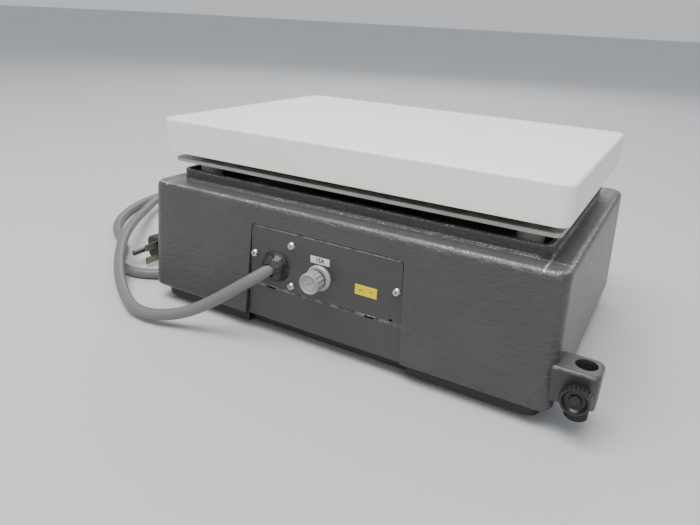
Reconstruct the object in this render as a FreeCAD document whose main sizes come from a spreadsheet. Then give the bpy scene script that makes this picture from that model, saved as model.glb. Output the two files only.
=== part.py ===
import FreeCAD, Part
import math
import os

import Sketcher

# A laboratory hot plate: a thick white plate on four posts over a dark grey housing, with the
# mains lead, the fuse and a probe socket on the rear, a clamp for an upright rod at one rear
# corner, and the heat dial and power switch on the front.
#
# Millimetres. +Z up, the floor at z = 0, the front looks along -Y and the rear along +Y.
# All places below are measured from the middle of the plate; frame_x then moves the whole
# assembly, so that the origin is under the middle of the object without its lead.

Vector = FreeCAD.Vector
UP, DOWN = Vector(0, 0, 1), Vector(0, 0, -1)
REAR, FRONT = Vector(0, 1, 0), Vector(0, -1, 0)
ACROSS = Vector(1, 0, 0)

SIZES = {
    "frame_x": 11.49,
    # the heated top
    "plate_length": 305.0,
    "plate_width": 215.0,
    "plate_thick": 25.0,
    "plate_top": 150.0,
    "plate_corner": 7.0,
    "plate_edge": 2.0,
    "recess_margin": 13.0,
    "recess_depth": 13.0,
    "element_dia": 8.0,
    "element_pitch": 28.0,
    "element_rows": 6.0,
    "clamp_thick": 1.5,
    "blanket_thick": 3.0,
    "shield_length": 297.4,
    "shield_width": 200.8,
    "shield_top": 119.4,
    "shield_lip": 2.8,
    "shield_thick": 0.8,
    "post_x": 128.0,
    "post_y": 81.0,
    "post_dia": 17.0,
    "spacer_dia": 13.0,
    "stud_dia": 5.0,
    # the housing
    "housing_length": 328.4,
    "housing_width": 238.0,
    "housing_bottom": 12.5,
    "housing_top": 101.6,
    "housing_draft": 2.8,
    "housing_corner": 10.0,
    "housing_edge": 5.0,
    "housing_foot_edge": 3.5,
    "wall": 3.0,
    "rim_length": 289.0,
    "rim_width": 196.0,
    "rim_height": 8.5,
    "rim_corner": 8.0,
    "rim_wall": 3.0,
    "deck_length": 282.0,
    "deck_z": 93.0,
    "deck_thick": 1.2,
    "column_x": 148.5,
    "column_y": 102.5,
    "column_dia": 10.0,
    # the rear panel and what is on it
    "panel_y": 115.4,
    "sheet_thick": 1.5,
    "notch_top": 86.4,
    "notch_top_half": 60.5,
    "notch_foot_half": 65.6,
    "seam": 0.6,
    "seam_z": 40.2,
    "side_screw_x": 57.6,
    "side_screw_z": 64.2,
    "bracket_screw_x": 25.3,
    "bracket_screw_high": 76.9,
    "bracket_screw_low": 45.8,
    "screw_head_dia": 5.8,
    "screw_head_high": 2.3,
    "screw_dia": 3.5,
    "gland_x": 38.9,
    "gland_z": 57.7,
    "gland_dia": 23.6,
    "gland_reach": 9.0,
    "fuse_x": 2.0,
    "fuse_z": 58.4,
    "fuse_flange_dia": 18.8,
    "fuse_barrel_dia": 12.6,
    "fuse_cap_dia": 15.4,
    "fuse_cap_reach": 14.0,
    "label_x": 1.8,
    "label_z": 71.2,
    "label_long": 15.4,
    "label_high": 5.2,
    "jack_x": -35.1,
    "jack_z": 58.3,
    "jack_long": 16.5,
    "jack_high": 7.2,
    # the tray, its feet and the rod clamp
    "pan_length": 313.0,
    "pan_width": 224.0,
    "pan_bottom": 3.0,
    "pan_high": 14.0,
    "foot_x": 135.0,
    "foot_y": 92.0,
    "foot_dia": 22.0,
    "clamp_outer": 187.0,
    "clamp_near_y": 115.0,
    "clamp_far_y": 92.0,
    "clamp_low": 22.0,
    "clamp_high": 45.0,
    "bore_x": 176.9,
    "bore_y": 102.6,
    "bore_r": 6.6,
    "stop_dia": 14.0,
    "stop_deep": 13.5,
    "knob_z": 31.0,
    "knob_x": 176.3,
    "clamp_knob_dia": 18.4,
    # the front
    "fascia_half": 100.0,
    "fascia_low": 36.0,
    "fascia_high": 86.4,
    "dial_x": -52.0,
    "dial_z": 60.0,
    "dial_dia": 40.0,
    "dial_reach": 14.0,
    "rocker_x": 66.0,
    "rocker_z": 60.0,
    "lamp_x": 18.0,
    "lamp_z": 60.0,
    "lug_deep": 7.0,
    # the lead
    "lead_dia": 9.0,
    "coil_x": 262.0,
    "coil_y": -92.5,
    "coil_r": 49.5,
    "coil_wide": 12.0,
    "plug_x": 220.0,
    "plug_face_y": 62.0,
    "plug_z": 12.5,
}

doc = FreeCAD.newDocument("HotPlate")
sheet = doc.addObject("Spreadsheet::Sheet", "Sizes")
for row, (alias, number) in enumerate(SIZES.items(), start=1):
    sheet.set(f"A{row}", alias)
    sheet.set(f"B{row}", str(number))
    sheet.setAlias(f"B{row}", alias)
doc.recompute()


class Dim:
    """A size worked out from the sheet: its value, and the expression that gives it."""

    def __init__(self, value, text):
        self.value, self.text = float(value), text

    def __add__(self, other):
        return Dim(self.value + dim(other).value, f"({self.text} + {dim(other).text})")

    def __radd__(self, other):
        return dim(other) + self

    def __sub__(self, other):
        return Dim(self.value - dim(other).value, f"({self.text} - {dim(other).text})")

    def __rsub__(self, other):
        return dim(other) - self

    def __mul__(self, factor):
        return Dim(self.value * dim(factor).value, f"({self.text} * {dim(factor).text})")

    def __rmul__(self, factor):
        return self * factor

    def __truediv__(self, factor):
        return Dim(self.value / dim(factor).value, f"({self.text} / {dim(factor).text})")

    def __neg__(self):
        return self * -1


def dim(number):
    return number if isinstance(number, Dim) else Dim(number, f"{float(number):.6f}")


def size(alias):
    return Dim(sheet.get(alias), f"Sizes.{alias}")


PLACES = {}
NODES = []


def put(thing, x=0, y=0, z=0, turn=None):
    """Binds the place of a thing to the sheet; turn is its rotation."""
    if turn is not None:
        thing.Placement = FreeCAD.Placement(Vector(), turn)
    PLACES[thing.Name] = (dim(x), dim(y), dim(z))
    for axis, amount in zip("xyz", PLACES[thing.Name]):
        thing.setExpression(f"Placement.Base.{axis}", amount.text)
    return thing


def node(label, thing):
    """Names a finished sub-part and moves it into the frame of the assembly."""
    x, y, z = PLACES.get(thing.Name, (dim(0), dim(0), dim(0)))
    put(thing, x + size("frame_x"), y, z)
    thing.Label = label
    NODES.append(thing)
    return thing


def toward(direction):
    return FreeCAD.Rotation(UP, direction)


def box(name, low, high):
    """A block between two corners."""
    block = doc.addObject("Part::Box", name)
    low, high = [dim(v) for v in low], [dim(v) for v in high]
    for side, a, b in zip(("Length", "Width", "Height"), low, high):
        block.setExpression(side, (b - a).text)
    return put(block, *low)


def rod(name, diameter, length, foot, direction=UP):
    """A cylinder from the middle of its foot along a direction."""
    bar = doc.addObject("Part::Cylinder", name)
    bar.setExpression("Radius", (dim(diameter) / 2).text)
    bar.setExpression("Height", dim(length).text)
    return put(bar, *foot, turn=toward(direction))


def fuse(name, things):
    whole = doc.addObject("Part::MultiFuse", name)
    whole.Shapes = list(things)
    return whole


def cut(name, base, tools):
    piece = doc.addObject("Part::Cut", name)
    piece.Base = base
    piece.Tool = tools[0] if len(tools) == 1 else fuse(name + "_tools", tools)
    return piece


def group(label, things):
    """Identical pieces in one node, each a solid of its own."""
    together = doc.addObject("Part::Compound", label)
    together.Links = list(things)
    return node(label, together)


def body(name):
    return doc.addObject("PartDesign::Body", name)


def outline(part, role, corners, tag="outline"):
    """A closed sketch of straight sides, with each corner held to the origin by two sizes."""
    sketch = part.newObject("Sketcher::SketchObject", f"{part.Name}_{tag}")
    plane = next(f for f in part.Origin.OriginFeatures if f.Role == role)
    sketch.AttachmentSupport = [(plane, "")]
    sketch.MapMode = "FlatFace"
    corners = [(dim(a), dim(b)) for a, b in corners]
    count = len(corners)
    for i, (a, b) in enumerate(corners):
        c, d = corners[(i + 1) % count]
        ends = Vector(a.value, b.value, 0), Vector(c.value, d.value, 0)
        sketch.addGeometry(Part.LineSegment(*ends), False)
    for i in range(count):
        sketch.addConstraint(Sketcher.Constraint("Coincident", i, 2, (i + 1) % count, 1))
    for i, (a, b) in enumerate(corners):
        for kind, amount, axis in (("DistanceX", a, -2), ("DistanceY", b, -1)):
            if abs(amount.value) < 1e-9:
                sketch.addConstraint(Sketcher.Constraint("PointOnObject", i, 1, axis))
                continue
            held = Sketcher.Constraint(kind, -1, 1, i, 1, amount.value)
            index = sketch.addConstraint(held)
            sketch.setExpression(f"Constraints[{index}]", amount.text)
    return sketch


def rectangle(part, length, width, tag="outline"):
    a, b = dim(length) / 2, dim(width) / 2
    return outline(part, "XY_Plane", [(-a, -b), (a, -b), (a, b), (-a, b)], tag)


def pad(part, sketch, length, taper=0, midplane=False):
    feature = part.newObject("PartDesign::Pad", f"{sketch.Name}_pad")
    feature.Profile = sketch
    feature.setExpression("Length", dim(length).text)
    feature.Midplane = midplane
    if dim(taper).value:
        feature.setExpression("TaperAngle", dim(taper).text)
    doc.recompute()
    return feature


def pocket(part, sketch, length, backwards=False, midplane=False):
    before = part.Shape.Volume
    feature = part.newObject("PartDesign::Pocket", f"{sketch.Name}_pocket")
    feature.Profile = sketch
    feature.setExpression("Length", dim(length).text)
    feature.Reversed = backwards
    feature.Midplane = midplane
    doc.recompute()
    if not part.Shape.Volume < before - 0.01:
        raise ValueError(f"{feature.Name} cuts nothing")
    return feature


def round_off(part, chosen, radius, tag):
    """Rounds the edges of a body's tip that a test picks."""
    doc.recompute()
    base = part.Tip
    names = [f"Edge{i}" for i, edge in enumerate(base.Shape.Edges, 1) if chosen(edge)]
    feature = part.newObject("PartDesign::Fillet", f"{part.Name}_{tag}")
    feature.Base = (base, names)
    feature.setExpression("Radius", dim(radius).text)
    doc.recompute()
    return feature


def upright(edge):
    run = edge.Vertexes[-1].Point - edge.Vertexes[0].Point
    return len(edge.Vertexes) == 2 and abs(run.z) > 0.9 * run.Length


def at_height(level):
    return lambda edge: all(abs(v.Z - level) < 1e-3 for v in edge.Vertexes)


def slab(name, length, width, high, corner, taper=0, top_edge=0, foot_edge=0):
    """A block with rounded corners on its own XY plane, drafted by taper degrees."""
    part = body(name)
    pad(part, rectangle(part, length, width), high, taper)
    if dim(corner).value:
        round_off(part, upright, corner, "corners")
    if dim(top_edge).value:
        round_off(part, at_height(dim(high).value), top_edge, "top_edge")
    if dim(foot_edge).value:
        round_off(part, at_height(0), foot_edge, "foot_edge")
    return part


def turned(name, profile, foot=(0, 0, 0), direction=UP):
    """A turned piece: its half profile is a list of (radius, height) corners."""
    part = body(name)
    sketch = outline(part, "XZ_Plane", profile)
    feature = part.newObject("PartDesign::Revolution", f"{name}_turned")
    feature.Profile = sketch
    feature.ReferenceAxis = (sketch, ["V_Axis"])
    feature.Angle = 360
    doc.recompute()
    return put(part, *foot, turn=toward(direction))


def screw(name, head_foot, direction, reach, head_dia=None, thread_dia=None):
    """A pan-head screw: head_foot is under its head, and its thread runs against direction."""
    head_dia = head_dia or size("screw_head_dia")
    thread_dia = thread_dia or size("screw_dia")
    head = size("screw_head_high")
    profile = [
        (0, -dim(reach)),
        (thread_dia / 2, -dim(reach)),
        (thread_dia / 2, 0),
        (head_dia / 2, 0),
        (head_dia / 2, head * 0.45),
        (head_dia * 0.36, head),
        (0, head),
    ]
    piece = turned(name, profile, head_foot, direction)
    half, thin, deep = head_dia * 0.27, head_dia * 0.07, head * 0.6
    for tag, a, b in (("slot_a", half, thin), ("slot_b", thin, half)):
        slot = outline(piece, "XY_Plane", [(-a, -b), (a, -b), (a, b), (-a, b)], tag)
        slot.setExpression("AttachmentOffset.Base.z", (head - deep).text)
        pocket(piece, slot, head, backwards=True)
    return piece


def corners_of(x, y):
    return [(x, y), (-x, y), (-x, -y), (x, -y)]


# ---------------------------------------------------------------- the heated top
def make_top_plate():
    plate = slab(
        "top_plate", size("plate_length"), size("plate_width"), size("plate_thick"),
        size("plate_corner"), top_edge=size("plate_edge"),
    )
    inner = rectangle(
        plate,
        size("plate_length") - 2 * size("recess_margin"),
        size("plate_width") - 2 * size("recess_margin"),
        "recess",
    )
    pocket(plate, inner, size("recess_depth"), backwards=True)
    node("top_plate", put(plate, 0, 0, size("plate_top") - size("plate_thick")))


def plate_bottom():
    return size("plate_top") - size("plate_thick")


def recess_roof():
    return plate_bottom() + size("recess_depth")


def make_element():
    """One tubular element, bent to and fro under the plate, with both ends turned down."""
    pitch, rows = sheet.get("element_pitch"), int(sheet.get("element_rows"))
    radius = sheet.get("element_dia") / 2
    half_run = sheet.get("plate_length") / 2 - sheet.get("recess_margin") - pitch / 2 - 8
    level = recess_roof().value - radius
    edges, side = [], 1
    for i in range(rows):
        y = (i - (rows - 1) / 2) * pitch
        run = Vector(-side * half_run, y, level), Vector(side * half_run, y, level)
        edges.append(Part.LineSegment(*run))
        if i < rows - 1:
            ends = Vector(side * half_run, y, level), Vector(side * half_run, y + pitch, level)
            middle = Vector(side * (half_run + pitch / 2), y + pitch / 2, level)
            edges.append(Part.Arc(ends[0], middle, ends[1]))
        side = -side
    wire = Part.Wire([edge.toShape() for edge in edges])
    start = Vector(-half_run, -(rows - 1) / 2 * pitch, level)
    ring = Part.Wire(Part.makeCircle(radius, start, ACROSS))
    tube = wire.makePipeShell([ring], True, False)
    element = doc.addObject("Part::Feature", "heating_element")
    element.Shape = tube
    node("heating_element", element)


def make_under_plate():
    length = size("plate_length") - 2 * size("recess_margin") - 4
    width = size("plate_width") - 2 * size("recess_margin") - 4
    under = recess_roof() - size("element_dia") - size("clamp_thick")
    clamp = slab("element_clamp_plate", length, width, size("clamp_thick"), 4)
    node("element_clamp_plate", put(clamp, 0, 0, under))
    blanket = slab("blanket_blank", length - 2, width - 2, size("blanket_thick"), 4)
    holes = [
        rod(f"blanket_hole_{i}", size("spacer_dia") + 1, 40, (x, y, size("deck_z")))
        for i, (x, y) in enumerate(corners_of(size("post_x"), size("post_y")))
    ]
    put(blanket, 0, 0, under - size("blanket_thick") - 0.05)
    node("insulation_blanket", cut("blanket_cut", blanket, holes))


def make_shield():
    lip, thick = size("shield_lip"), size("shield_thick")
    outer = slab("shield_outer", size("shield_length"), size("shield_width"), lip, 5, top_edge=0.6)
    put(outer, 0, 0, size("shield_top") - lip)
    inner = slab(
        "shield_inner", size("shield_length") - 2 * thick, size("shield_width") - 2 * thick, lip, 4.2
    )
    put(inner, 0, 0, size("shield_top") - lip - thick)
    holes = [
        rod(f"shield_hole_{i}", size("stud_dia") + 0.6, 20, (x, y, size("shield_top") - 10))
        for i, (x, y) in enumerate(corners_of(size("post_x"), size("post_y")))
    ]
    node("heat_shield", cut("shield_cut", outer, [inner] + holes))


def make_posts():
    """Four posts carry the shield and the plate over the deck, each round a stud."""
    deck_top = size("deck_z") + size("deck_thick")
    shield_under = size("shield_top") - size("shield_thick")
    spots = corners_of(size("post_x"), size("post_y"))
    hole = size("stud_dia") + 0.4

    def sleeve(name, x, y, diameter, low, high):
        outer = rod(name + "_outer", diameter, high - low, (x, y, low))
        return cut(name, outer, [rod(name + "_hole", hole, high - low + 2, (x, y, low - 1))])

    post = size("post_dia")
    group(
        "plate_posts",
        [sleeve(f"post_{i}", x, y, post, deck_top, shield_under) for i, (x, y) in enumerate(spots)],
    )
    clamp_under = recess_roof() - size("element_dia") - size("clamp_thick")
    spacer = size("spacer_dia")
    group(
        "plate_spacers",
        [
            sleeve(f"spacer_{i}", x, y, spacer, size("shield_top"), clamp_under)
            for i, (x, y) in enumerate(spots)
        ],
    )
    below = 12
    group(
        "plate_studs",
        [
            rod(
                f"stud_{i}", size("stud_dia"), clamp_under - size("deck_z") + below,
                (x, y, size("deck_z") - below),
            )
            for i, (x, y) in enumerate(spots)
        ],
    )
    nuts = []
    for i, (x, y) in enumerate(spots):
        nut = doc.addObject("Part::Prism", f"nut_{i}")
        nut.Polygon = 6
        nut.setExpression("Circumradius", "4.62")
        nut.setExpression("Height", "4")
        put(nut, x, y, size("deck_z") - 4.1)
        hole_in_nut = rod(f"nut_hole_{i}", size("stud_dia") + 0.1, 8, (x, y, size("deck_z") - 6))
        nuts.append(cut(f"stud_nut_{i}", nut, [hole_in_nut]))
    group("stud_nuts", nuts)


# ---------------------------------------------------------------- the housing
def shell_block(name, inset, low, high):
    """Length, width and height of the drafted housing between two heights, inset on each side."""
    slope = math.tan(math.radians(sheet.get("housing_draft")))
    drop = (low - size("housing_bottom")) * slope
    length = size("housing_length") - 2 * inset - 2 * drop
    width = size("housing_width") - 2 * inset - 2 * drop
    return length, width, high - low


def mirrored_box(name, side, end, low, high):
    """A block given for the +X, +Y quarter and put on one side (1 or -1) and one end."""
    (x0, y0, z0), (x1, y1, z1) = low, high
    xs = (x0, x1) if side > 0 else (-dim(x1), -dim(x0))
    ys = (y0, y1) if end > 0 else (-dim(y1), -dim(y0))
    return box(name, (xs[0], ys[0], z0), (xs[1], ys[1], z1))


def screw_lug(name, side, end, near, far, back, middle):
    """A tapped lug behind a panel, joined to the wall beside the panel's opening."""
    tag = f"{name}_{side}"
    deep = size("lug_deep")
    lug = mirrored_box(
        tag, side, end, (near, back - deep, middle - 7), (far + 0.5, back, middle + 7)
    )
    web = mirrored_box(
        f"{tag}_web", side, end, (far, back - deep, middle - 7), (far + 8, back + 1, middle + 7)
    )
    across = FRONT if end > 0 else REAR
    start = ((near + 5.5) * side, (back + 1) * end, middle)
    hole = rod(f"{tag}_hole", size("screw_dia") + 0.1, deep + 3, start, across)
    return cut(f"{tag}_tapped", fuse(f"{tag}_mass", [lug, web]), [hole])


def make_housing():
    bottom, top = size("housing_bottom"), size("housing_top")
    draft = -size("housing_draft")
    length, width, high = shell_block("outer", dim(0), bottom, top)
    outer = slab(
        "housing_outer", length, width, high, size("housing_corner"), draft,
        size("housing_edge"), size("housing_foot_edge"),
    )
    put(outer, 0, 0, bottom)
    rim = slab("housing_rim", size("rim_length"), size("rim_width"), size("rim_height") + 4,
               size("rim_corner"), top_edge=0.8)
    put(rim, 0, 0, top - 4)
    wall = size("wall")
    length, width, high = shell_block("inner", wall, bottom, top - wall)
    inner = slab("housing_inner", length, width, high, size("housing_corner") - wall, draft)
    put(inner, 0, 0, bottom)
    opening = slab(
        "housing_opening",
        size("rim_length") - 2 * size("rim_wall"),
        size("rim_width") - 2 * size("rim_wall"),
        20,
        size("rim_corner") - size("rim_wall"),
    )
    put(opening, 0, 0, top - 8)
    shell = cut("housing_shell", fuse("housing_mass", [outer, rim]), [inner, opening])

    notch = body("housing_notch")
    a, b = size("notch_top_half"), size("notch_foot_half")
    low, roof = bottom - 2, size("notch_top")
    sketch = outline(notch, "XZ_Plane", [(-b, low), (b, low), (a, roof), (-a, roof)])
    pad(notch, sketch, 40, midplane=True)
    round_off(
        notch, lambda e: e.BoundBox.ZMin > roof.value - 0.01 and e.BoundBox.YLength > 30, 3, "corners"
    )
    put(notch, 0, size("panel_y"), 0)

    window = box(
        "housing_window",
        (-size("fascia_half"), -size("housing_width") / 2 - 5, size("fascia_low")),
        (size("fascia_half"), -size("panel_y") + 14, size("fascia_high")),
    )
    open_shell = cut("housing_open", shell, [notch, window])
    columns = []
    for i, (x, y) in enumerate(corners_of(size("column_x"), size("column_y"))):
        column = rod(f"column_{i}", size("column_dia"), top - wall - 4.6 + 0.5, (x, y, 4.6))
        hole = rod(f"column_hole_{i}", size("screw_dia") + 0.1, 16, (x, y, 4))
        columns.append(cut(f"column_tapped_{i}", column, [hole]))
    rear_lug = (size("side_screw_x") - 5.5, size("notch_top_half") + 2.5)
    front_lug = (size("fascia_half") - 11, size("fascia_half"))
    back = size("panel_y") - size("sheet_thick")
    lugs = [
        screw_lug("rear_lug", side, 1, *rear_lug, back, size("side_screw_z")) for side in (1, -1)
    ]
    lugs += [
        screw_lug("front_lug", side, -1, *front_lug, size("panel_y") - 2, size("dial_z"))
        for side in (1, -1)
    ]
    ledges = []
    for side in (1, -1):
        ledges.append(
            mirrored_box(f"deck_ledge_{side}", side, 1, (138.5, -60, 88), (143.5, 60, size("deck_z")))
        )
        ledges.append(mirrored_box(f"ledge_web_{side}", side, 1, (141.0, -60, 88), (158.5, 60, 90.5)))
    node("housing", fuse("housing_whole", [open_shell] + columns + lugs + ledges))


def make_deck():
    width = size("rim_width") - 2 * size("rim_wall") - 1.4
    deck = slab("deck_blank", size("deck_length"), width, size("deck_thick"), 4)
    put(deck, 0, 0, size("deck_z"))
    holes = [
        rod(f"deck_hole_{i}", size("stud_dia") + 0.4, 10, (x, y, size("deck_z") - 5))
        for i, (x, y) in enumerate(corners_of(size("post_x"), size("post_y")))
    ]
    slots = [
        box(f"deck_slot_{i}", (-45, y - 3, size("deck_z") - 3), (45, y + 3, size("deck_z") + 4))
        for i, y in enumerate((-60, -40, 40, 60))
    ]
    node("deck_plate", cut("deck_cut", deck, holes + slots))


# ---------------------------------------------------------------- the rear
def notch_half(height):
    """Half the width of the opening in the rear wall at a height."""
    bottom, top = size("housing_bottom") - 2, size("notch_top")
    share = (top - height) / (top - bottom)
    return size("notch_top_half") + (size("notch_foot_half") - size("notch_top_half")) * share


def make_rear_sheets():
    thick, face, seam = size("sheet_thick"), size("panel_y"), size("seam")

    def sheet_metal(name, low, high, corner):
        part = body(name)
        a, b = notch_half(low) - seam, notch_half(high) - seam
        sketch = outline(part, "XZ_Plane", [(-a, low), (a, low), (b, high), (-b, high)])
        pad(part, sketch, thick)
        if corner:
            round_off(
                part,
                lambda e: e.BoundBox.ZMin > high.value - 0.01 and e.BoundBox.YLength > thick.value - 0.01,
                corner, "corners",
            )
        return put(part, 0, face, 0)

    panel = sheet_metal("rear_panel_blank", size("seam_z") + 0.4, size("notch_top") - seam, 2.4)
    holes = [
        rod("hole_gland", 16.4, 10, (size("gland_x"), face + 2, size("gland_z")), FRONT),
        rod(
            "hole_fuse", size("fuse_barrel_dia") + 0.4, 10, (size("fuse_x"), face + 2, size("fuse_z")),
            FRONT,
        ),
    ]
    gap = 0.3
    a, b = size("jack_long") / 2 + gap, size("jack_high") / 2 + gap
    x, z = size("jack_x"), size("jack_z")
    holes.append(box("hole_jack", (x - a, face - 4, z - b), (x + a, face + 2, z + b)))
    spots = [(size("side_screw_x") * s, size("side_screw_z")) for s in (1, -1)]
    spots += [(size("bracket_screw_x"), size(z)) for z in ("bracket_screw_high", "bracket_screw_low")]
    for i, (x, z) in enumerate(spots):
        holes.append(rod(f"hole_screw_{i}", size("screw_dia") + 0.4, 10, (x, face + 2, z), FRONT))
    vent = rod("hole_small", 2.2, 10, (-54.6, face + 2, size("seam_z") + 2.2), FRONT)
    node("rear_panel", cut("rear_panel_cut", panel, holes + [vent]))

    apron = sheet_metal("apron_blank", size("housing_bottom") + 0.6, size("seam_z"), 0)
    top = size("seam_z")
    notches = [
        box(f"apron_notch_{i}", (x - 4, face - 4, top - 1.1), (x + 4, face + 2, top + 1))
        for i, x in enumerate((-38.5, 43.5))
    ]
    foot_z = size("pan_bottom") + size("pan_high") + 0.02
    foot = box("apron_foot", (-58, face - 14, foot_z), (58, face - 1, foot_z + thick))
    node("rear_apron", fuse("apron_whole", [cut("apron_cut", apron, notches), foot]))

    inward = 9
    group(
        "panel_screws",
        [
            screw(f"panel_screw_{i}", (size("side_screw_x") * s, face, size("side_screw_z")), REAR, 7)
            for i, s in enumerate((1, -1))
        ],
    )
    group(
        "bracket_screws",
        [
            screw(f"bracket_screw_{i}", (size("bracket_screw_x"), face, size(z)), REAR, inward)
            for i, z in enumerate(("bracket_screw_high", "bracket_screw_low"))
        ],
    )


def make_terminal_bracket():
    """A bent strip behind the panel, which the inner pair of screws holds."""
    x, back = size("bracket_screw_x"), size("panel_y") - size("sheet_thick")
    low, high = size("bracket_screw_low") - 5, size("bracket_screw_high") + 5
    left, right = x - 7.5, x + 2.9
    strip = box("bracket_strip", (left, back - 2, low), (right, back, high))
    arm = box("bracket_arm", (left, back - 30, high - 2), (right, back - 1, high))
    holes = [
        rod(f"bracket_hole_{i}", size("screw_dia") + 0.1, 8, (x, back + 2, size(z)), FRONT)
        for i, z in enumerate(("bracket_screw_high", "bracket_screw_low"))
    ]
    whole = fuse("bracket_mass", [strip, arm])
    node("terminal_bracket", cut("bracket_cut", whole, holes))
    block = box("terminal_mass", (x - 20, back - 30, high), (x + 20, back - 12, high + 9.0))
    wells = [
        rod(f"terminal_well_{i}", 4, 6, (x - 14 + 9.3 * i, back - 21, high + 5)) for i in range(4)
    ]
    node("terminal_block", cut("terminal_cut", block, wells))


def make_gland():
    at = (size("gland_x"), size("panel_y"), size("gland_z"))
    half = size("gland_dia") / 2
    stem, bore, reach = 8.0, 4.9, size("gland_reach")
    profile = [
        (bore, -12), (stem, -12), (stem, 0), (half, 0), (half - 0.9, reach * 0.2), (half - 2.6, reach * 0.42),
        (half - 4.3, reach * 0.66), (half - 6.0, reach), (bore, reach),
    ]
    node("cord_gland", turned("cord_gland", profile, at, REAR))
    nut = doc.addObject("Part::Prism", "gland_nut_blank")
    nut.Polygon = 6
    nut.setExpression("Circumradius", "10.6")
    nut.setExpression("Height", "4.5")
    back = size("panel_y") - size("sheet_thick")
    put(nut, at[0], back, at[2], turn=toward(FRONT))
    hole = rod("gland_nut_hole", 16.1, 10, (at[0], back + 2, at[2]), FRONT)
    node("gland_locknut", cut("gland_nut_cut", nut, [hole]))


def make_fuse():
    x, face, z = size("fuse_x"), size("panel_y"), size("fuse_z")
    flange, barrel = size("fuse_flange_dia") / 2, size("fuse_barrel_dia") / 2
    holder = [
        (4.6, -36), (barrel, -36), (barrel, 0), (flange, 0), (flange, 1.4), (flange - 1, 2.6),
        (5.9, 2.6), (5.9, -6), (4.6, -6),
    ]
    node("fuse_holder", turned("fuse_holder", holder, (x, face, z), REAR))
    ring = [(barrel + 0.05, -5.5), (9.4, -5.5), (9.4, -1.55), (barrel + 0.05, -1.55)]
    node("fuse_holder_nut", turned("fuse_holder_nut", ring, (x, face, z), REAR))
    end = [(0, -39), (barrel, -39), (barrel, -36.02), (0, -36.02)]
    spring = [(2.4, -36), (3.4, -36), (3.4, -31.2), (2.4, -31.2)]
    contacts = [
        turned("fuse_end_terminal", end, (x, face, z), REAR),
        turned("fuse_spring", spring, (x, face, z), REAR),
    ]
    group("fuse_contacts", contacts)
    glass = [(0, -24.6), (2.9, -24.6), (2.9, -5.4), (0, -5.4)]
    tube = turned("fuse_glass", glass, (x, face, z), REAR)
    ends = []
    for i, (low, high) in enumerate(((-31.0, -24.6), (-5.4, 1.0))):
        ferrule = [(0, low), (3.17, low), (3.17, high), (0, high)]
        ends.append(turned(f"fuse_ferrule_{i}", ferrule, (x, face, z), REAR))
    node("fuse_tube", tube)
    group("fuse_ferrules", ends)

    cap = size("fuse_cap_dia") / 2
    reach = size("fuse_cap_reach")
    profile = [
        (3.25, -4.8), (5.82, -4.8), (5.82, 3.0), (cap, 3.0), (cap, reach - 1.2), (cap - 1.2, reach),
        (cap - 2.0, reach), (cap - 2.0, reach - 0.7), (0, reach - 0.7), (0, 1.1), (3.25, 1.1),
    ]
    part = turned("fuse_cap", profile, (x, face, z), REAR)
    flute = outline(
        part, "XY_Plane", [(cap - 0.9, -0.8), (cap + 2, -0.8), (cap + 2, 0.8), (cap - 0.9, 0.8)],
        "flute",
    )
    flute.setExpression("AttachmentOffset.Base.z", "4.5")
    cutter = pocket(part, flute, 20, backwards=True)
    ring_of = part.newObject("PartDesign::PolarPattern", "fuse_cap_flutes")
    ring_of.Originals = [cutter]
    ring_of.Axis = (part.Origin.OriginFeatures[2], [""])
    ring_of.Angle = 360
    ring_of.Occurrences = 16
    part.Tip = ring_of
    doc.recompute()
    node("fuse_cap", part)

    a, b = size("label_long") / 2, size("label_high") / 2
    node(
        "fuse_label",
        box(
            "fuse_label",
            (size("label_x") - a, face, size("label_z") - b),
            (size("label_x") + a, face + 0.15, size("label_z") + b),
        ),
    )


def make_jack():
    x, face, z = size("jack_x"), size("panel_y"), size("jack_z")
    a, b = size("jack_long") / 2, size("jack_high") / 2
    shell = box("jack_mass", (x - a, face - 14, z - b), (x + a, face + 0.5, z + b))
    slots = [
        box(f"jack_slot_{i}", (x + dx - half, face - 10, z - 0.45), (x + dx + half, face + 1, z + 0.45))
        for i, (dx, half) in enumerate(((4.0, 1.6), (-4.0, 1.2)))
    ]
    node("probe_socket", cut("jack_cut", shell, slots))
    group(
        "probe_contacts",
        [
            box(f"jack_contact_{i}", (x + dx - 1, face - 22, z - 0.4), (x + dx + 1, face - 14.02, z + 0.4))
            for i, dx in enumerate((4.0, -4.0))
        ],
    )
    clip = box("clip_mass", (x - a - 4, face - 3.0, z - b - 1.5), (x + a + 4, face - 1.52, z + b + 1.5))
    gap = box("clip_gap", (x - a - 0.05, face - 6, z - b - 0.05), (x + a + 0.05, face + 1, z + b + 0.05))
    node("probe_socket_clip", cut("clip_cut", clip, [gap]))


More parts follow.
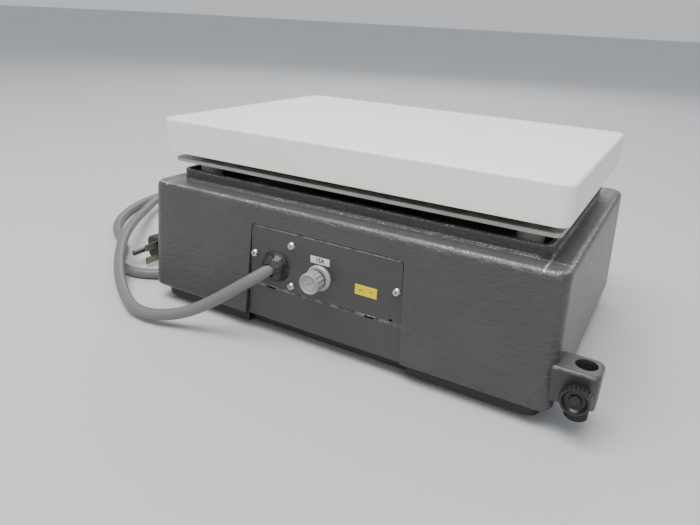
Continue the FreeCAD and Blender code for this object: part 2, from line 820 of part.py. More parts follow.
# ---------------------------------------------------------------- the tray, feet and clamp
def make_base():
    wall, bottom = size("sheet_thick"), size("pan_bottom")
    outer = slab("pan_outer", size("pan_length"), size("pan_width"), size("pan_high"), 9, foot_edge=1.5)
    put(outer, 0, 0, bottom)
    inner = slab(
        "pan_inner", size("pan_length") - 2 * wall, size("pan_width") - 2 * wall, size("pan_high"), 7.5
    )
    put(inner, 0, 0, bottom + wall)
    step = box(
        "pan_step", (-notch_half(size("housing_bottom")) - 2, size("panel_y") - 9, bottom - 1),
        (notch_half(size("housing_bottom")) + 2, size("panel_y") + 20, bottom + size("pan_high") + 2),
    )
    stepped = cut("pan_stepped", outer, [step])
    back_wall = box(
        "pan_back_wall",
        (-notch_half(size("housing_bottom")) - 2, size("panel_y") - 10.5, bottom),
        (notch_half(size("housing_bottom")) + 2, size("panel_y") - 9, bottom + size("pan_high")),
    )
    screws = corners_of(size("column_x"), size("column_y"))
    holes = [
        rod(f"pan_hole_{i}", size("screw_dia") + 0.5, 8, (x, y, bottom - 2))
        for i, (x, y) in enumerate(screws)
    ]
    feet = corners_of(size("foot_x"), size("foot_y"))
    holes += [rod(f"foot_hole_{i}", 6.4, 8, (x, y, bottom - 2)) for i, (x, y) in enumerate(feet)]
    vents = [
        box(f"pan_vent_{i}", (-30, y - 2, bottom - 1), (30, y + 2, bottom + 3))
        for i, y in enumerate(range(-24, 25, 12))
    ]
    tray = cut("pan_tray", stepped, [inner])
    whole = fuse("pan_mass", [tray, back_wall])
    node("base_pan", cut("base_pan", whole, holes + vents))
    group(
        "base_screws",
        [
            screw(f"base_screw_{i}", (x, y, bottom), DOWN, 12, head_dia=dim(6.4))
            for i, (x, y) in enumerate(screws)
        ],
    )
    half = size("foot_dia") / 2
    rubber = [
        (0, 0), (half - 2, 0), (half, 1.2), (half, bottom), (3.1, bottom), (3.1, bottom + wall),
        (4.4, bottom + wall), (2.6, bottom + wall + 3), (0, bottom + wall + 3),
    ]
    group("rubber_feet", [turned(f"foot_{i}", rubber, (x, y, 0)) for i, (x, y) in enumerate(feet)])


def make_rod_clamp():
    """A block on the side wall takes an upright half-inch rod; a thumbscrew locks it."""
    outer, near, far = -size("clamp_outer"), size("clamp_near_y"), size("clamp_far_y")
    low, high = size("clamp_low"), size("clamp_high")
    block = body("clamp_block")
    inner = -size("housing_length") / 2
    sketch = outline(
        block, "XY_Plane",
        [(outer, far), (inner + 6, far), (inner + 6, near), (outer, near)],
    )
    pad(block, sketch, high - low)
    round_off(
        block, lambda e: upright(e) and e.BoundBox.XMax < outer.value + 0.01, 6, "corners"
    )
    round_off(
        block,
        lambda e: e.BoundBox.ZMin > (high - low).value - 0.01 and e.BoundBox.XMin < inner.value - 2,
        2.2, "top_edge",
    )
    put(block, 0, 0, low)
    bore = rod("clamp_bore", 2 * size("bore_r"), 60, (-size("bore_x"), size("bore_y"), low - 10))
    thread = rod("clamp_thread", 5.2, 30, (-size("knob_x"), near + 5, size("knob_z")), FRONT)
    length, width, tall = shell_block("beside", dim(-0.03), size("housing_bottom"), size("housing_top"))
    beside = slab(
        "clamp_beside", length, width, tall, size("housing_corner"), -size("housing_draft"), 0,
        size("housing_foot_edge"),
    )
    put(beside, 0, 0, size("housing_bottom"))
    node("rod_clamp_block", cut("clamp_cut", block, [bore, thread, beside]))

    deep, r = size("stop_deep"), size("stop_dia") / 2
    stop = [(0, 0), (r - 1, 0), (r, 1), (r, deep), (0, deep)]
    node("rod_stop", turned("rod_stop", stop, (-size("bore_x"), size("bore_y"), low - deep)))

    knob_foot = (-size("knob_x"), near, size("knob_z"))
    tip_low = -(near - size("bore_y")) + size("bore_r")
    stud = [(0, tip_low + 2.1), (2.55, tip_low + 2.1), (2.55, 2.0), (0, 2.0)]
    node("clamp_stud", turned("clamp_stud", stud, knob_foot, REAR))
    pad_near, pad_far = tip_low + 0.5, tip_low + 2.05
    pad_profile = [(0, pad_near), (2.3, pad_near), (2.3, pad_far), (0, pad_far)]
    node("clamp_tip", turned("clamp_tip", pad_profile, knob_foot, REAR))
    half = size("clamp_knob_dia") / 2
    profile = [
        (0, 2.0), (5.0, 2.0), (5.0, 2.6), (half - 0.6, 2.6), (half, 3.2), (half, 8.1), (half - 1.2, 9.3),
        (0, 9.3),
    ]
    knob = turned("clamp_knob", profile, knob_foot, REAR)
    flute = outline(
        knob, "XY_Plane", [(half - 1.1, -1.1), (half + 2, -1.1), (half + 2, 1.1), (half - 1.1, 1.1)], "flute"
    )
    flute.setExpression("AttachmentOffset.Base.z", "2.3")
    cutter = pocket(knob, flute, 20, backwards=True)
    ring_of = knob.newObject("PartDesign::PolarPattern", "clamp_knob_flutes")
    ring_of.Originals = [cutter]
    ring_of.Axis = (knob.Origin.OriginFeatures[2], [""])
    ring_of.Angle = 360
    ring_of.Occurrences = 12
    knob.Tip = ring_of
    doc.recompute()
    node("clamp_knob", knob)


# ---------------------------------------------------------------- the front
def make_front():
    face, thick = -size("panel_y"), 2.0
    low, high, half = size("fascia_low"), size("fascia_high"), size("fascia_half")
    gap = 0.4
    blank = box("fascia_blank", (-half + gap, face, low + gap), (half - gap, face + thick, high - gap))
    dial_x, dial_z = size("dial_x"), size("dial_z")
    rocker_x, rocker_z = size("rocker_x"), size("rocker_z")
    lamp_x, lamp_z = size("lamp_x"), size("lamp_z")
    holes = [
        rod("fascia_dial_hole", 9.6, 10, (dial_x, face - 4, dial_z), REAR),
        rod("fascia_lamp_hole", 8.2, 10, (lamp_x, face - 4, lamp_z), REAR),
        box(
            "fascia_rocker_hole", (rocker_x - 11.2, face - 4, rocker_z - 13.7),
            (rocker_x + 11.2, face + 5, rocker_z + 13.7),
        ),
    ]
    node("front_fascia", cut("fascia_cut", blank, holes))
    skirt = [(5.2, 0.05), (23, 0.05), (23, 0.9), (5.2, 0.9)]
    node("dial_scale", turned("dial_scale", skirt, (dial_x, face, dial_z), FRONT))
    knob_half, reach = size("dial_dia") / 2, size("dial_reach")
    profile = [
        (3.05, 1.2), (knob_half, 1.2), (knob_half, 4.0), (knob_half - 3.0, 5.0),
        (knob_half - 4.0, reach - 1.5), (knob_half - 5.5, reach), (0, reach), (0, reach - 3),
        (3.05, reach - 3),
    ]
    knob = turned("heat_knob", profile, (dial_x, face, dial_z), FRONT)
    flute = outline(
        knob, "XY_Plane",
        [(knob_half - 4.6, -1.2), (knob_half + 2, -1.2), (knob_half + 2, 1.2), (knob_half - 4.6, 1.2)],
        "flute",
    )
    flute.setExpression("AttachmentOffset.Base.z", "5")
    cutter = pocket(knob, flute, 20, backwards=True)
    ring_of = knob.newObject("PartDesign::PolarPattern", "heat_knob_flutes")
    ring_of.Originals = [cutter]
    ring_of.Axis = (knob.Origin.OriginFeatures[2], [""])
    ring_of.Angle = 360
    ring_of.Occurrences = 18
    knob.Tip = ring_of
    doc.recompute()
    node("heat_knob", knob)
    shaft = [(0, -9), (3.0, -9), (3.0, reach - 3.05), (0, reach - 3.05)]
    node("dial_shaft", turned("dial_shaft", shaft, (dial_x, face, dial_z), FRONT))
    bush = rod("regulator_bush", 9.2, thick + 1, (dial_x, face + thick + 1, dial_z), FRONT)
    case = box(
        "regulator_case", (dial_x - 16, face + thick, dial_z - 16), (dial_x + 16, face + 26, dial_z + 16)
    )
    well = rod("regulator_well", 6.12, 14, (dial_x, face - 2, dial_z), REAR)
    node("heat_regulator", cut("regulator_cut", fuse("regulator_mass", [bush, case]), [well]))

    def around_rocker(name, across, tall, near, far):
        """A block centred on the rocker, between two depths from the face."""
        return box(
            name, (rocker_x - across, face + near, rocker_z - tall),
            (rocker_x + across, face + far, rocker_z + tall),
        )

    frame = around_rocker("rocker_frame_mass", 13, 15.5, -1.6, -0.02)
    sleeve = around_rocker("rocker_sleeve", 11, 13.5, -0.1, 17)
    hollow = around_rocker("rocker_hollow", 9, 11.5, -4, 15)
    node("rocker_frame", cut("rocker_frame_cut", fuse("rocker_frame_whole", [frame, sleeve]), [hollow]))
    paddle = body("power_rocker")
    shape = outline(
        paddle, "YZ_Plane",
        [(-4.6, -10), (-0.6, 0), (-1.4, 10), (4, 10), (7.5, 1.5), (7.5, -1.5), (4, -10)],
    )
    pad(paddle, shape, 17.4, midplane=True)
    put(paddle, rocker_x, face, rocker_z)
    node("power_rocker", paddle)
    lens = [(0, -8), (3.9, -8), (3.9, 0), (5.2, 0), (5.2, 1.2), (3.4, 3.0), (0, 3.6)]
    node("pilot_lamp", turned("pilot_lamp", lens, (lamp_x, face, lamp_z), FRONT))


# ---------------------------------------------------------------- inside
def make_inside():
    """The control gear on the floor of the tray."""
    floor = size("pan_bottom") + size("sheet_thick")
    standoffs, lift = [], 8
    spots = [(-20, 60), (60, 60), (60, -10), (-20, -10)]
    for i, (x, y) in enumerate(spots):
        standoffs.append(rod(f"standoff_{i}", 6, lift, (x, y + 14, floor + 0.02)))
    group("board_standoffs", standoffs)
    board = box("board_blank", (-28, -4, floor + lift + 0.04), (68, 82, floor + lift + 1.64))
    node("control_board", board)
    on_board = floor + lift + 1.66
    parts = [
        box("relay", (-18, 20, on_board), (10, 34, on_board + 15)),
        box("capacitor_block", (-18, 48, on_board), (0, 66, on_board + 12)),
        rod("capacitor_a", 10, 16, (24, 60, on_board)),
        rod("capacitor_b", 10, 16, (38, 60, on_board)),
    ]
    group("board_components", parts)
    mass = box("core_mass", (-120, 20, floor + 0.02), (-72, 62, floor + 40))
    window = box("core_window", (-125, 25.95, floor + 6.95), (-67, 56.05, floor + 33.05))
    node("transformer_core", cut("core_cut", mass, [window]))
    winding = slab("transformer_winding", 62, 30, 26, 5)
    node("transformer_winding", put(winding, -96, 41, floor + 7))
    fins = [box("sink_base", (85, -60, floor + 0.02), (135, 10, floor + 4))]
    for i in range(6):
        fin_x = 87 + 9 * i
        fins.append(box(f"sink_fin_{i}", (fin_x, -60, floor + 3), (fin_x + 2.5, 10, floor + 26)))
    sink = fuse("sink_whole", fins)
    node("heat_sink", sink)
    triac = box("triac_mass", (80.0, -34, floor + 0.02), (84.98, -18, floor + 20))
    node("triac", triac)


def pipe(name, points, diameter):
    """A tube along a route, with each corner of the route rounded as far as its runs allow."""
    wire, radii = rounded_route(points)
    way = (points[1] - points[0]).normalize()
    ring = Part.Wire(Part.makeCircle(diameter / 2, points[0], way))
    tube = wire.makePipeShell([ring], True, False)
    expected = wire.Length * math.pi * diameter**2 / 4
    print(f"{name}: length {wire.Length:.1f}, arc radii {min(radii):.0f} to {max(radii):.0f}")
    print(f"  volume {tube.Volume:.0f}, section times length {expected:.0f}")
    feature = doc.addObject("Part::Feature", name)
    feature.Shape = tube
    return feature


def rounded_route(points):
    """Straight runs joined by tangent arcs of 0.45 of the shorter run over the half turn's tangent."""
    edges, radii, start = [], [], points[0]
    for before, corner, after in zip(points, points[1:], points[2:]):
        into, out = corner - before, after - corner
        reach = 0.45 * min(into.Length, out.Length)
        turn = into.getAngle(out)
        radii.append(reach / math.tan(turn / 2))
        into.normalize()
        out.normalize()
        first, last = corner - into * reach, corner + out * reach
        inward = (out - into).normalize()
        middle = corner + inward * (radii[-1] / math.cos(turn / 2) - radii[-1])
        edges.append(Part.LineSegment(start, first).toShape())
        edges.append(Part.Arc(first, middle, last).toShape())
        start = last
    edges.append(Part.LineSegment(start, points[-1]).toShape())
    return Part.Wire(edges), radii


def make_wires():
    """The insulated wires between the gear, in one node."""
    routes = {
        "wire_live": [
            (11, 92, 81.85), (11.2, 91.5, 75), (14, 84, 67), (11, 70, 60), (-6, 61, 52), (-34, 54, 45),
            (-58, 50.2, 40.2), (-71.95, 50, 40),
        ],
        "wire_neutral": [
            (38, 92, 81.85), (38.2, 91.5, 75), (41, 82, 60), (50, 68, 44), (58, 53, 30), (59, 48, 22),
            (59.1, 47.8, 14.2),
        ],
        "wire_dial": [
            (-52, -89.35, 56), (-51.5, -82, 55.5), (-46, -66, 46), (-30, -42, 36), (-8, -16, 29),
            (1.8, 0, 22), (2, 0.3, 14.2),
        ],
    }
    wires = []
    for name, route in routes.items():
        wires.append(pipe(name, [Vector(*p) for p in route], 2.6))
    group("internal_wires", wires)


def make_sensor():
    """The plate's own temperature probe, pressed to its underside by the clamp plate."""
    high = size("element_dia") - 0.04
    node("plate_sensor", rod("plate_sensor", 12, high, (0, 0, recess_roof() - high - 0.02)))


# ---------------------------------------------------------------- the mains lead
LEAD_ROUTE = [
    (36.5, 117.5, 60.2), (46.0, 128.0, 52.5), (60.0, 135.0, 42.0), (76.0, 140.5, 30.0), (93.0, 144.5, 19.0),
    (111.0, 149.0, 11.0), (130.0, 154.0, 7.5), (149.0, 153.5, 7.0), (169.0, 145.0, 9.5), (190.0, 131.5, 14.0),
    (212.0, 113.5, 19.0), (237.0, 88.0, 23.5), (259.0, 61.5, 23.5), (284.0, 31.0, 20.0), (312.0, -5.5, 14.5),
    (337.0, -42.0, 12.0), (347.0, -70.0, 15.5), (351.0, -98.0, 19.0), (348.0, -127.0, 19.0),
    (337.0, -152.0, 13.5), (318.0, -171.0, 7.5), (292.0, -183.0, 4.6), (263.0, -186.0, 4.6),
    (234.0, -181.0, 4.6), (208.0, -167.0, 4.6), (189.0, -145.0, 4.6), (178.0, -118.0, 4.6),
    (173.5, -88.0, 4.6), (172.5, -54.0, 4.6), (173.0, -18.0, 4.6), (172.0, 17.0, 4.6), (172.6, 46.0, 4.6),
    (173.4, 70.4, 4.6), (184.0, 89.2, 4.6), (202.4, 100.1, 4.6), (223.9, 100.5, 4.6), (242.6, 90.2, 4.6),
    (257.0, 73.0, 4.6), (273.0, 58.0, 4.6), (291.0, 46.5, 4.6), (311.0, 33.5, 4.6), (329.0, 16.5, 4.6),
    (344.5, -5.0, 4.6), (357.0, -30.0, 4.6), (366.0, -56.0, 4.6), (370.5, -83.0, 4.6), (366.0, -107.0, 4.6),
    (353.0, -127.5, 4.6), (332.0, -139.0, 4.6), (304.0, -142.5, 4.6), (262.0, -142.0, 4.6),
]
PLUG_LEAD_ROUTE = [(212.9, -85.0, 13.5), (217.0, -58.0, 13.2), (220.0, -31.0, 12.5), (220.0, 1.0, 12.5)]


def make_lead():
    lead = sheet.get("lead_dia")
    node("power_cord", pipe("power_cord", [Vector(*p) for p in LEAD_ROUTE], lead))
    node("plug_lead", pipe("plug_lead", [Vector(*p) for p in PLUG_LEAD_ROUTE], lead))
    inner, outer = size("coil_r") - size("coil_wide") / 2, size("coil_r") + size("coil_wide") / 2
    high = 2 * size("lead_dia")
    ring = [
        (inner, 2), (inner + 2, 0), (outer - 2, 0), (outer, 2), (outer, high - 2), (outer - 2, high),
        (inner + 2, high), (inner, high - 2),
    ]
    node("cord_coil", turned("cord_coil", ring, (size("coil_x"), size("coil_y"), 0.05)))


def make_plug():
    x, face, z = size("plug_x"), size("plug_face_y"), size("plug_z")
    half = size("lead_dia") / 2
    relief = [(0, 0), (half + 0.2, 0), (half + 2.8, 24), (0, 24)]
    node("plug_relief", turned("plug_relief", relief, (x, face - 61, z), REAR))
    plug = slab("plug_body", 26, 23, 37, 7, taper=0, top_edge=1.5)
    node("plug_body", put(plug, x, face - 36.98, z, turn=toward(REAR)))
    blades = [
        box(f"plug_blade_{i}", (x - 4.75, face + 0.04, z + dz - 3.1), (x - 3.25, face + 17.5, z + dz + 3.1))
        for i, dz in enumerate((6.35, -6.35))
    ]
    blades.append(rod("plug_earth_pin", 4.8, 21, (x + 7.9, face + 0.04, z), REAR))
    group("plug_pins", blades)


def write_parts():
    doc.recompute()
    for thing in doc.Objects:
        if {"Invalid", "Error"} & set(thing.State):
            raise ValueError(f"{thing.Name} did not compute: {thing.State}")
    for thing in NODES:
        if thing.Shape.isNull() or not thing.Shape.isValid():
            raise ValueError(f"{thing.Label} is not a valid shape")
    os.makedirs("parts", exist_ok=True)
    for thing in NODES:
        thing.Shape.exportStep(f"parts/{thing.Label}.step")
    print(f"{len(NODES)} nodes written")


make_top_plate()
make_element()
make_under_plate()
make_shield()
make_posts()
make_housing()
make_deck()
make_rear_sheets()
make_terminal_bracket()
make_gland()
make_fuse()
make_jack()
make_base()
make_rod_clamp()
make_front()
make_inside()
make_wires()
make_sensor()
make_lead()
make_plug()
write_parts()
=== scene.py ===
import math
import random

import bmesh
import bpy
from mathutils import Matrix, Quaternion, Vector


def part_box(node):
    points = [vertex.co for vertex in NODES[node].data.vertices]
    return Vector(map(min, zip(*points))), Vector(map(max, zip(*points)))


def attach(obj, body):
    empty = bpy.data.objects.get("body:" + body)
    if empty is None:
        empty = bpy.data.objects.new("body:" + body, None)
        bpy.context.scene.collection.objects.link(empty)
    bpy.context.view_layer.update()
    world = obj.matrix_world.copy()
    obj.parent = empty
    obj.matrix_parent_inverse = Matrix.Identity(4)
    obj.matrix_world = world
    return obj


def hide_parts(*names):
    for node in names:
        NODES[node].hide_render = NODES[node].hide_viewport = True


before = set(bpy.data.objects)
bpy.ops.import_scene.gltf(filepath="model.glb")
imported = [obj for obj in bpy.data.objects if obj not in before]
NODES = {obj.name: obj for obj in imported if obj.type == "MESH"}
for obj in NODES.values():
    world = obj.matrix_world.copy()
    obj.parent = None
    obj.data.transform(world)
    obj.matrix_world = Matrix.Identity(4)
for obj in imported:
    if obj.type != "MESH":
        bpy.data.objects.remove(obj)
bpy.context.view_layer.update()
MM = 0.001
UP = Vector((0, 0, 1))
REAR = Vector((0, 1, 0))
FRONT = Vector((0, -1, 0))


def middle(node):
    """The middle of a CAD node's box."""
    low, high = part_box(node)
    return (low + high) / 2


MIDDLE_X = middle("top_plate").x
PLATE_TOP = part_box("top_plate")[1].z
PANEL_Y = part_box("rear_panel")[1].y

# the riser round the deck: its height over the housing's ledge, and its half sizes
RIM_HEIGHT = 0.0085
RIM_HALF_X, RIM_HALF_Y = 0.1445, 0.098

# the coil of the mains lead and the plug, in millimetres as at() takes them
COIL_X, COIL_Y, COIL_RADIUS = 262.0, -92.5, 50.4
PLUG_X, PLUG_Z = 220.0, 12.5
LEAD_ON_FLOOR = 4.6
LEAD_DIAMETER = 9.0

SCREW_HEAD_DIAMETER, SCREW_HEAD_HEIGHT = 5.8, 2.3


def at(x, y, z):
    """A place in metres, from millimetres measured from the middle of the plate and the floor."""
    return Vector((MIDDLE_X + x * MM, y * MM, z * MM))


# ------------------------------------------------------------------ camera, floor and light
def set_camera():
    """Looks down on the rear left corner, from a little over the plate."""
    azimuth, elevation, roll = math.radians(208.82), math.radians(22.39), math.radians(3.01)
    back = Vector(
        (
            math.sin(azimuth) * math.cos(elevation),
            -math.cos(azimuth) * math.cos(elevation),
            math.sin(elevation),
        )
    )
    level = (-back).cross(UP).normalized()
    rise = level.cross(-back)
    right = level * math.cos(roll) + rise * math.sin(roll)
    top = rise * math.cos(roll) - level * math.sin(roll)
    camera = bpy.data.objects.new("camera", bpy.data.cameras.new("camera"))
    camera.data.lens = 30.446
    camera.data.sensor_width = 36
    camera.data.clip_start = 0.01
    turn = Matrix((right, top, back)).transposed().to_4x4()
    camera.matrix_world = Matrix.Translation(at(-197.67, 435.11, 226.22)) @ turn
    bpy.context.scene.collection.objects.link(camera)
    bpy.context.scene.camera = camera


def set_stage():
    """A plain pale floor, a pale sky and three soft lights."""
    bpy.ops.mesh.primitive_plane_add(size=60)
    floor = bpy.context.active_object
    floor.name = "floor"
    paint = Finish("floor_paint", (0.56, 0.57, 0.58), 0.75)
    floor.data.materials.append(paint.material)
    world = bpy.data.worlds.new("studio")
    world.use_nodes = True
    sky = world.node_tree.nodes["Background"]
    sky.inputs["Color"].default_value = (0.90, 0.93, 0.97, 1)
    sky.inputs["Strength"].default_value = 0.66
    bpy.context.scene.world = world
    lamps = [
        ("overhead", (0.1, 0.55, 1.55), (0, 0.05, 0.08), (1.5, 0.7), 33, (1.0, 0.99, 0.98)),
        ("far_window", (0.7, -1.7, 1.2), (0, 0, 0.1), (1.6, 0.9), 15, (0.93, 0.97, 1.0)),
        ("near_fill", (-1.1, 1.4, 0.7), (0, 0, 0.06), (1.2, 0.9), 4, (1.0, 0.98, 0.95)),
    ]
    for name, place, target, size, power, tint in lamps:
        lamp = bpy.data.lights.new(name, "AREA")
        lamp.shape = "RECTANGLE"
        lamp.size, lamp.size_y = size
        lamp.energy = power
        lamp.color = tint
        holder = bpy.data.objects.new(name, lamp)
        holder.location = place
        way = Vector(target) - Vector(place)
        holder.rotation_euler = way.to_track_quat("-Z", "Y").to_euler()
        bpy.context.scene.collection.objects.link(holder)


# ------------------------------------------------------------------ materials
class Field:
    """A value that changes over a surface. Arithmetic on it adds Math nodes to its finish."""

    def __init__(self, finish, socket):
        self.finish, self.socket = finish, socket

    def calc(self, operation, *values):
        return self.finish.add("ShaderNodeMath", {"operation": operation}, values)

    def __add__(self, other):
        return self.calc("ADD", self, other)

    __radd__ = __add__

    def __sub__(self, other):
        return self.calc("SUBTRACT", self, other)

    def __rsub__(self, other):
        return self.calc("SUBTRACT", other, self)

    def __mul__(self, other):
        return self.calc("MULTIPLY", self, other)

    __rmul__ = __mul__

    def __truediv__(self, other):
        return self.calc("DIVIDE", self, other)

    def __abs__(self):
        return self.calc("ABSOLUTE", self)

    def step(self, low, high):
        """0 under low, 1 over high, and smooth between them."""
        settings = {"interpolation_type": "SMOOTHSTEP"}
        return self.finish.add("ShaderNodeMapRange", settings, (self, low, high, 0.0, 1.0))

    def band(self, centre, half, soft):
        """1 within half of a centre, falling to 0 over soft."""
        return 1 - abs(self - centre).step(half, half + soft)


class Finish:
    """One procedural material on a Principled shader."""

    made = {}

    def __init__(self, name, colour, roughness, metallic=0.0, **sockets):
        self.material = bpy.data.materials.new(name)
        self.material.use_nodes = True
        self.tree = self.material.node_tree
        self.shader = self.tree.nodes["Principled BSDF"]
        self.colour = (*colour, 1)
        self.set("Base Color", self.colour)
        self.set("Roughness", roughness)
        self.set("Metallic", metallic)
        for socket, value in sockets.items():
            self.set(socket.replace("_", " "), value)
        self.where = self.add("ShaderNodeTexCoord", {}, (), "Object")
        Finish.made[name] = self

    def add(self, kind, settings, values, output=0):
        """Adds a node: its settings first, then the values or links of its inputs in order."""
        made = self.tree.nodes.new(kind)
        for key, value in settings.items():
            setattr(made, key, value)
        inputs = [socket for socket in made.inputs if socket.enabled]
        for socket, value in zip(inputs, values):
            self.feed(socket, value)
        return Field(self, made.outputs[output])

    def feed(self, socket, value):
        if isinstance(value, Field):
            self.tree.links.new(value.socket, socket)
        elif value is not None:
            socket.default_value = value

    def set(self, socket, value):
        self.feed(self.shader.inputs[socket], value)

    def axis(self, letter):
        """One coordinate on the object, in metres."""
        return self.add("ShaderNodeSeparateXYZ", {}, (self.where,), "XYZ".index(letter))

    def noise(self, size, detail=3.0, rough=0.55, stretch=(1, 1, 1), shift=(0, 0, 0)):
        """Cloudy noise from 0 to 1 whose lumps are about size metres across."""
        where = self.where
        if stretch != (1, 1, 1) or shift != (0, 0, 0):
            where = self.add("ShaderNodeMapping", {}, (self.where, shift, (0, 0, 0), stretch))
        return self.add("ShaderNodeTexNoise", {}, (where, 1 / size, detail, rough))

    def cells(self, size):
        """Distance to the nearest of many scattered points, in parts of size."""
        return self.add("ShaderNodeTexVoronoi", {"feature": "F1"}, (self.where, 1 / size))

    def mix(self, mask, first, second):
        """A colour between two, by a mask from 0 to 1."""
        made = self.tree.nodes.new("ShaderNodeMix")
        made.data_type = "RGBA"
        sockets = [s for s in made.inputs if s.enabled]
        for socket, value in zip(sockets, (mask, first, second)):
            self.feed(socket, value if isinstance(value, Field) or len(value) == 4 else (*value, 1))
        return Field(self, next(s for s in made.outputs if s.enabled))

    def tint(self, mask, colour):
        """Lays a colour over the base colour where the mask is 1."""
        base = self.shader.inputs["Base Color"]
        under = Field(self, base.links[0].from_socket) if base.is_linked else self.colour
        self.set("Base Color", self.mix(mask, under, colour))

    def bump(self, height, depth, strength=1.0):
        """Raises the surface by height, from 0 to 1, times depth metres."""
        made = self.tree.nodes.new("ShaderNodeBump")
        made.inputs["Strength"].default_value = strength
        made.inputs["Distance"].default_value = depth
        self.feed(made.inputs["Height"], height)
        normal = self.shader.inputs["Normal"]
        if normal.is_linked:
            self.tree.links.new(normal.links[0].from_socket, made.inputs["Normal"])
        self.set("Normal", Field(self, made.outputs["Normal"]))


def plate_ceramic():
    """Baked white coating, with the faint grey marks that hot vessels leave."""
    f = Finish("plate_ceramic", (0.93, 0.93, 0.93), 0.36, Coat_Weight=0.2, Coat_Roughness=0.22)
    cloud = f.noise(0.06, 4)
    f.tint(cloud.step(0.45, 0.75) * 0.35, (0.87, 0.88, 0.90))
    x, y, z = (f.axis(letter) for letter in "XYZ")
    side = 1 - z.step(PLATE_TOP - 0.0022, PLATE_TOP - 0.0006)
    f.tint(side * 0.8, (0.84, 0.82, 0.74))
    centre = at(-62, -3, 150)
    wander = f.noise(0.012, 4) - 0.5
    reach = abs(x - centre.x + wander * 0.03) / 0.017 + abs(y - centre.y + wander * 0.02) / 0.012
    mark = (1 - reach.step(0.35, 1.25)) * z.step(PLATE_TOP - 0.0012, PLATE_TOP - 0.0002)
    f.tint(mark * f.noise(0.004, 3).step(0.35, 0.7) * 0.55, (0.50, 0.51, 0.53))
    ring = abs(((x - centre.x - 0.09) * (x - centre.x - 0.09) + (y + 0.02) * (y + 0.02)) - 0.0030)
    stain = (1 - ring.step(0.00002, 0.00022)) * cloud.step(0.4, 0.6)
    f.tint(stain * 0.10, (0.60, 0.59, 0.57))
    specks = 1 - f.cells(0.006).step(0.035, 0.06)
    f.tint(specks * f.noise(0.03, 2).step(0.55, 0.7) * 0.5, (0.42, 0.40, 0.37))
    low_edge = 1 - z.step(PLATE_TOP - 0.0255, PLATE_TOP - 0.0215)
    f.tint(low_edge * f.noise(0.01, 4).step(0.4, 0.75) * 0.35, (0.62, 0.58, 0.50))
    f.set("Roughness", 0.30 + f.noise(0.02, 3) * 0.14)
    f.bump(f.noise(0.0022, 2), 0.00012, 0.28)
    return f


def wrinkle_paint(name, colour, wrinkle, depth, rough):
    """Thick dark grey paint with a leathery surface; its creases run level, with painted highlights on their
    ridges and painted shade in their hollows.
    """
    f = Finish(name, colour, rough, Coat_Weight=0.18, Coat_Roughness=0.30)
    light = tuple(min(1.0, c * 1.45) for c in colour)
    dark = tuple(c * 0.72 for c in colour)
    patch = f.noise(0.05, 4)
    f.tint(patch.step(0.45, 0.8) * 0.45, light)
    f.tint((1 - patch.step(0.2, 0.45)) * 0.45, dark)
    creases = f.noise(wrinkle, 3, 0.6, stretch=(0.42, 0.42, 1.25))
    fine = f.noise(wrinkle * 0.45, 2, 0.5)
    # painted highlight on the wrinkle ridges and painted shade in their hollows, following the bump's height
    f.tint(creases.step(0.50, 0.72) * 0.30, light)
    f.tint((1 - creases.step(0.28, 0.48)) * 0.35, dark)
    f.set("Roughness", rough - 0.06 + f.noise(0.008, 3) * 0.16)
    f.bump(creases * 0.75 + fine * 0.25, depth, 0.9)
    return f


def housing_paint():
    """Thickest on the housing, with painted highlights in broken lines of bright specks along its edges, and
    its upward ledge painted lighter as painted light.
    """
    f = wrinkle_paint("housing_paint", (0.050, 0.0485, 0.048), 0.0030, 0.0016, 0.36)
    x, y, z = (f.axis(letter) for letter in "XYZ")
    rim_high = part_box("housing")[1].z
    ledge = rim_high - RIM_HEIGHT
    specks = f.noise(0.0011, 3, 0.7, shift=(0.4, 0.1, 0)).step(0.50, 0.66)
    broken = f.noise(0.03, 2).step(0.30, 0.55)
    gleam = (0.85, 0.84, 0.82)
    # painted light: the upward-facing ledge band is painted lighter, broken up by noise
    dust_and_painted_light = z.step(ledge - 0.0012, ledge - 0.0002) * (1 - z.step(ledge + 0.001, ledge + 0.002))
    f.tint(dust_and_painted_light * (0.30 + f.noise(0.004, 5, 0.7).step(0.42, 0.8) * 0.35), (0.17, 0.165, 0.165))
    # painted highlights in broken lines of bright specks: the ledge's outer edge, the foot of the riser and
    # the top of the rim
    f.tint(z.band(ledge - 0.0007, 0.0002, 0.0005) * (0.06 + specks * broken * 0.8), gleam)
    along_x = abs(y).band(RIM_HALF_Y + 0.0006, 0.0004, 0.0007)
    along_y = abs(x - MIDDLE_X).band(RIM_HALF_X + 0.0006, 0.0004, 0.0007)
    foot_line = along_x.calc("MAXIMUM", along_x, along_y) * z.band(ledge, 0.0014, 0.0012)
    f.tint(foot_line * (0.10 + specks * (0.25 + broken * 0.75)), gleam)
    f.tint(z.step(rim_high - 0.0012, rim_high - 0.0003) * (0.05 + specks * 0.5), gleam)
    chips = (1 - f.cells(0.017).step(0.018, 0.034)) * f.noise(0.04, 2).step(0.5, 0.62)
    f.tint(chips * 0.8, (0.40, 0.39, 0.37))
    foot = 1 - z.step(0.0145, 0.024)
    f.tint(foot * f.noise(0.006, 4).step(0.4, 0.75) * 0.5, (0.025, 0.024, 0.023))
    return f


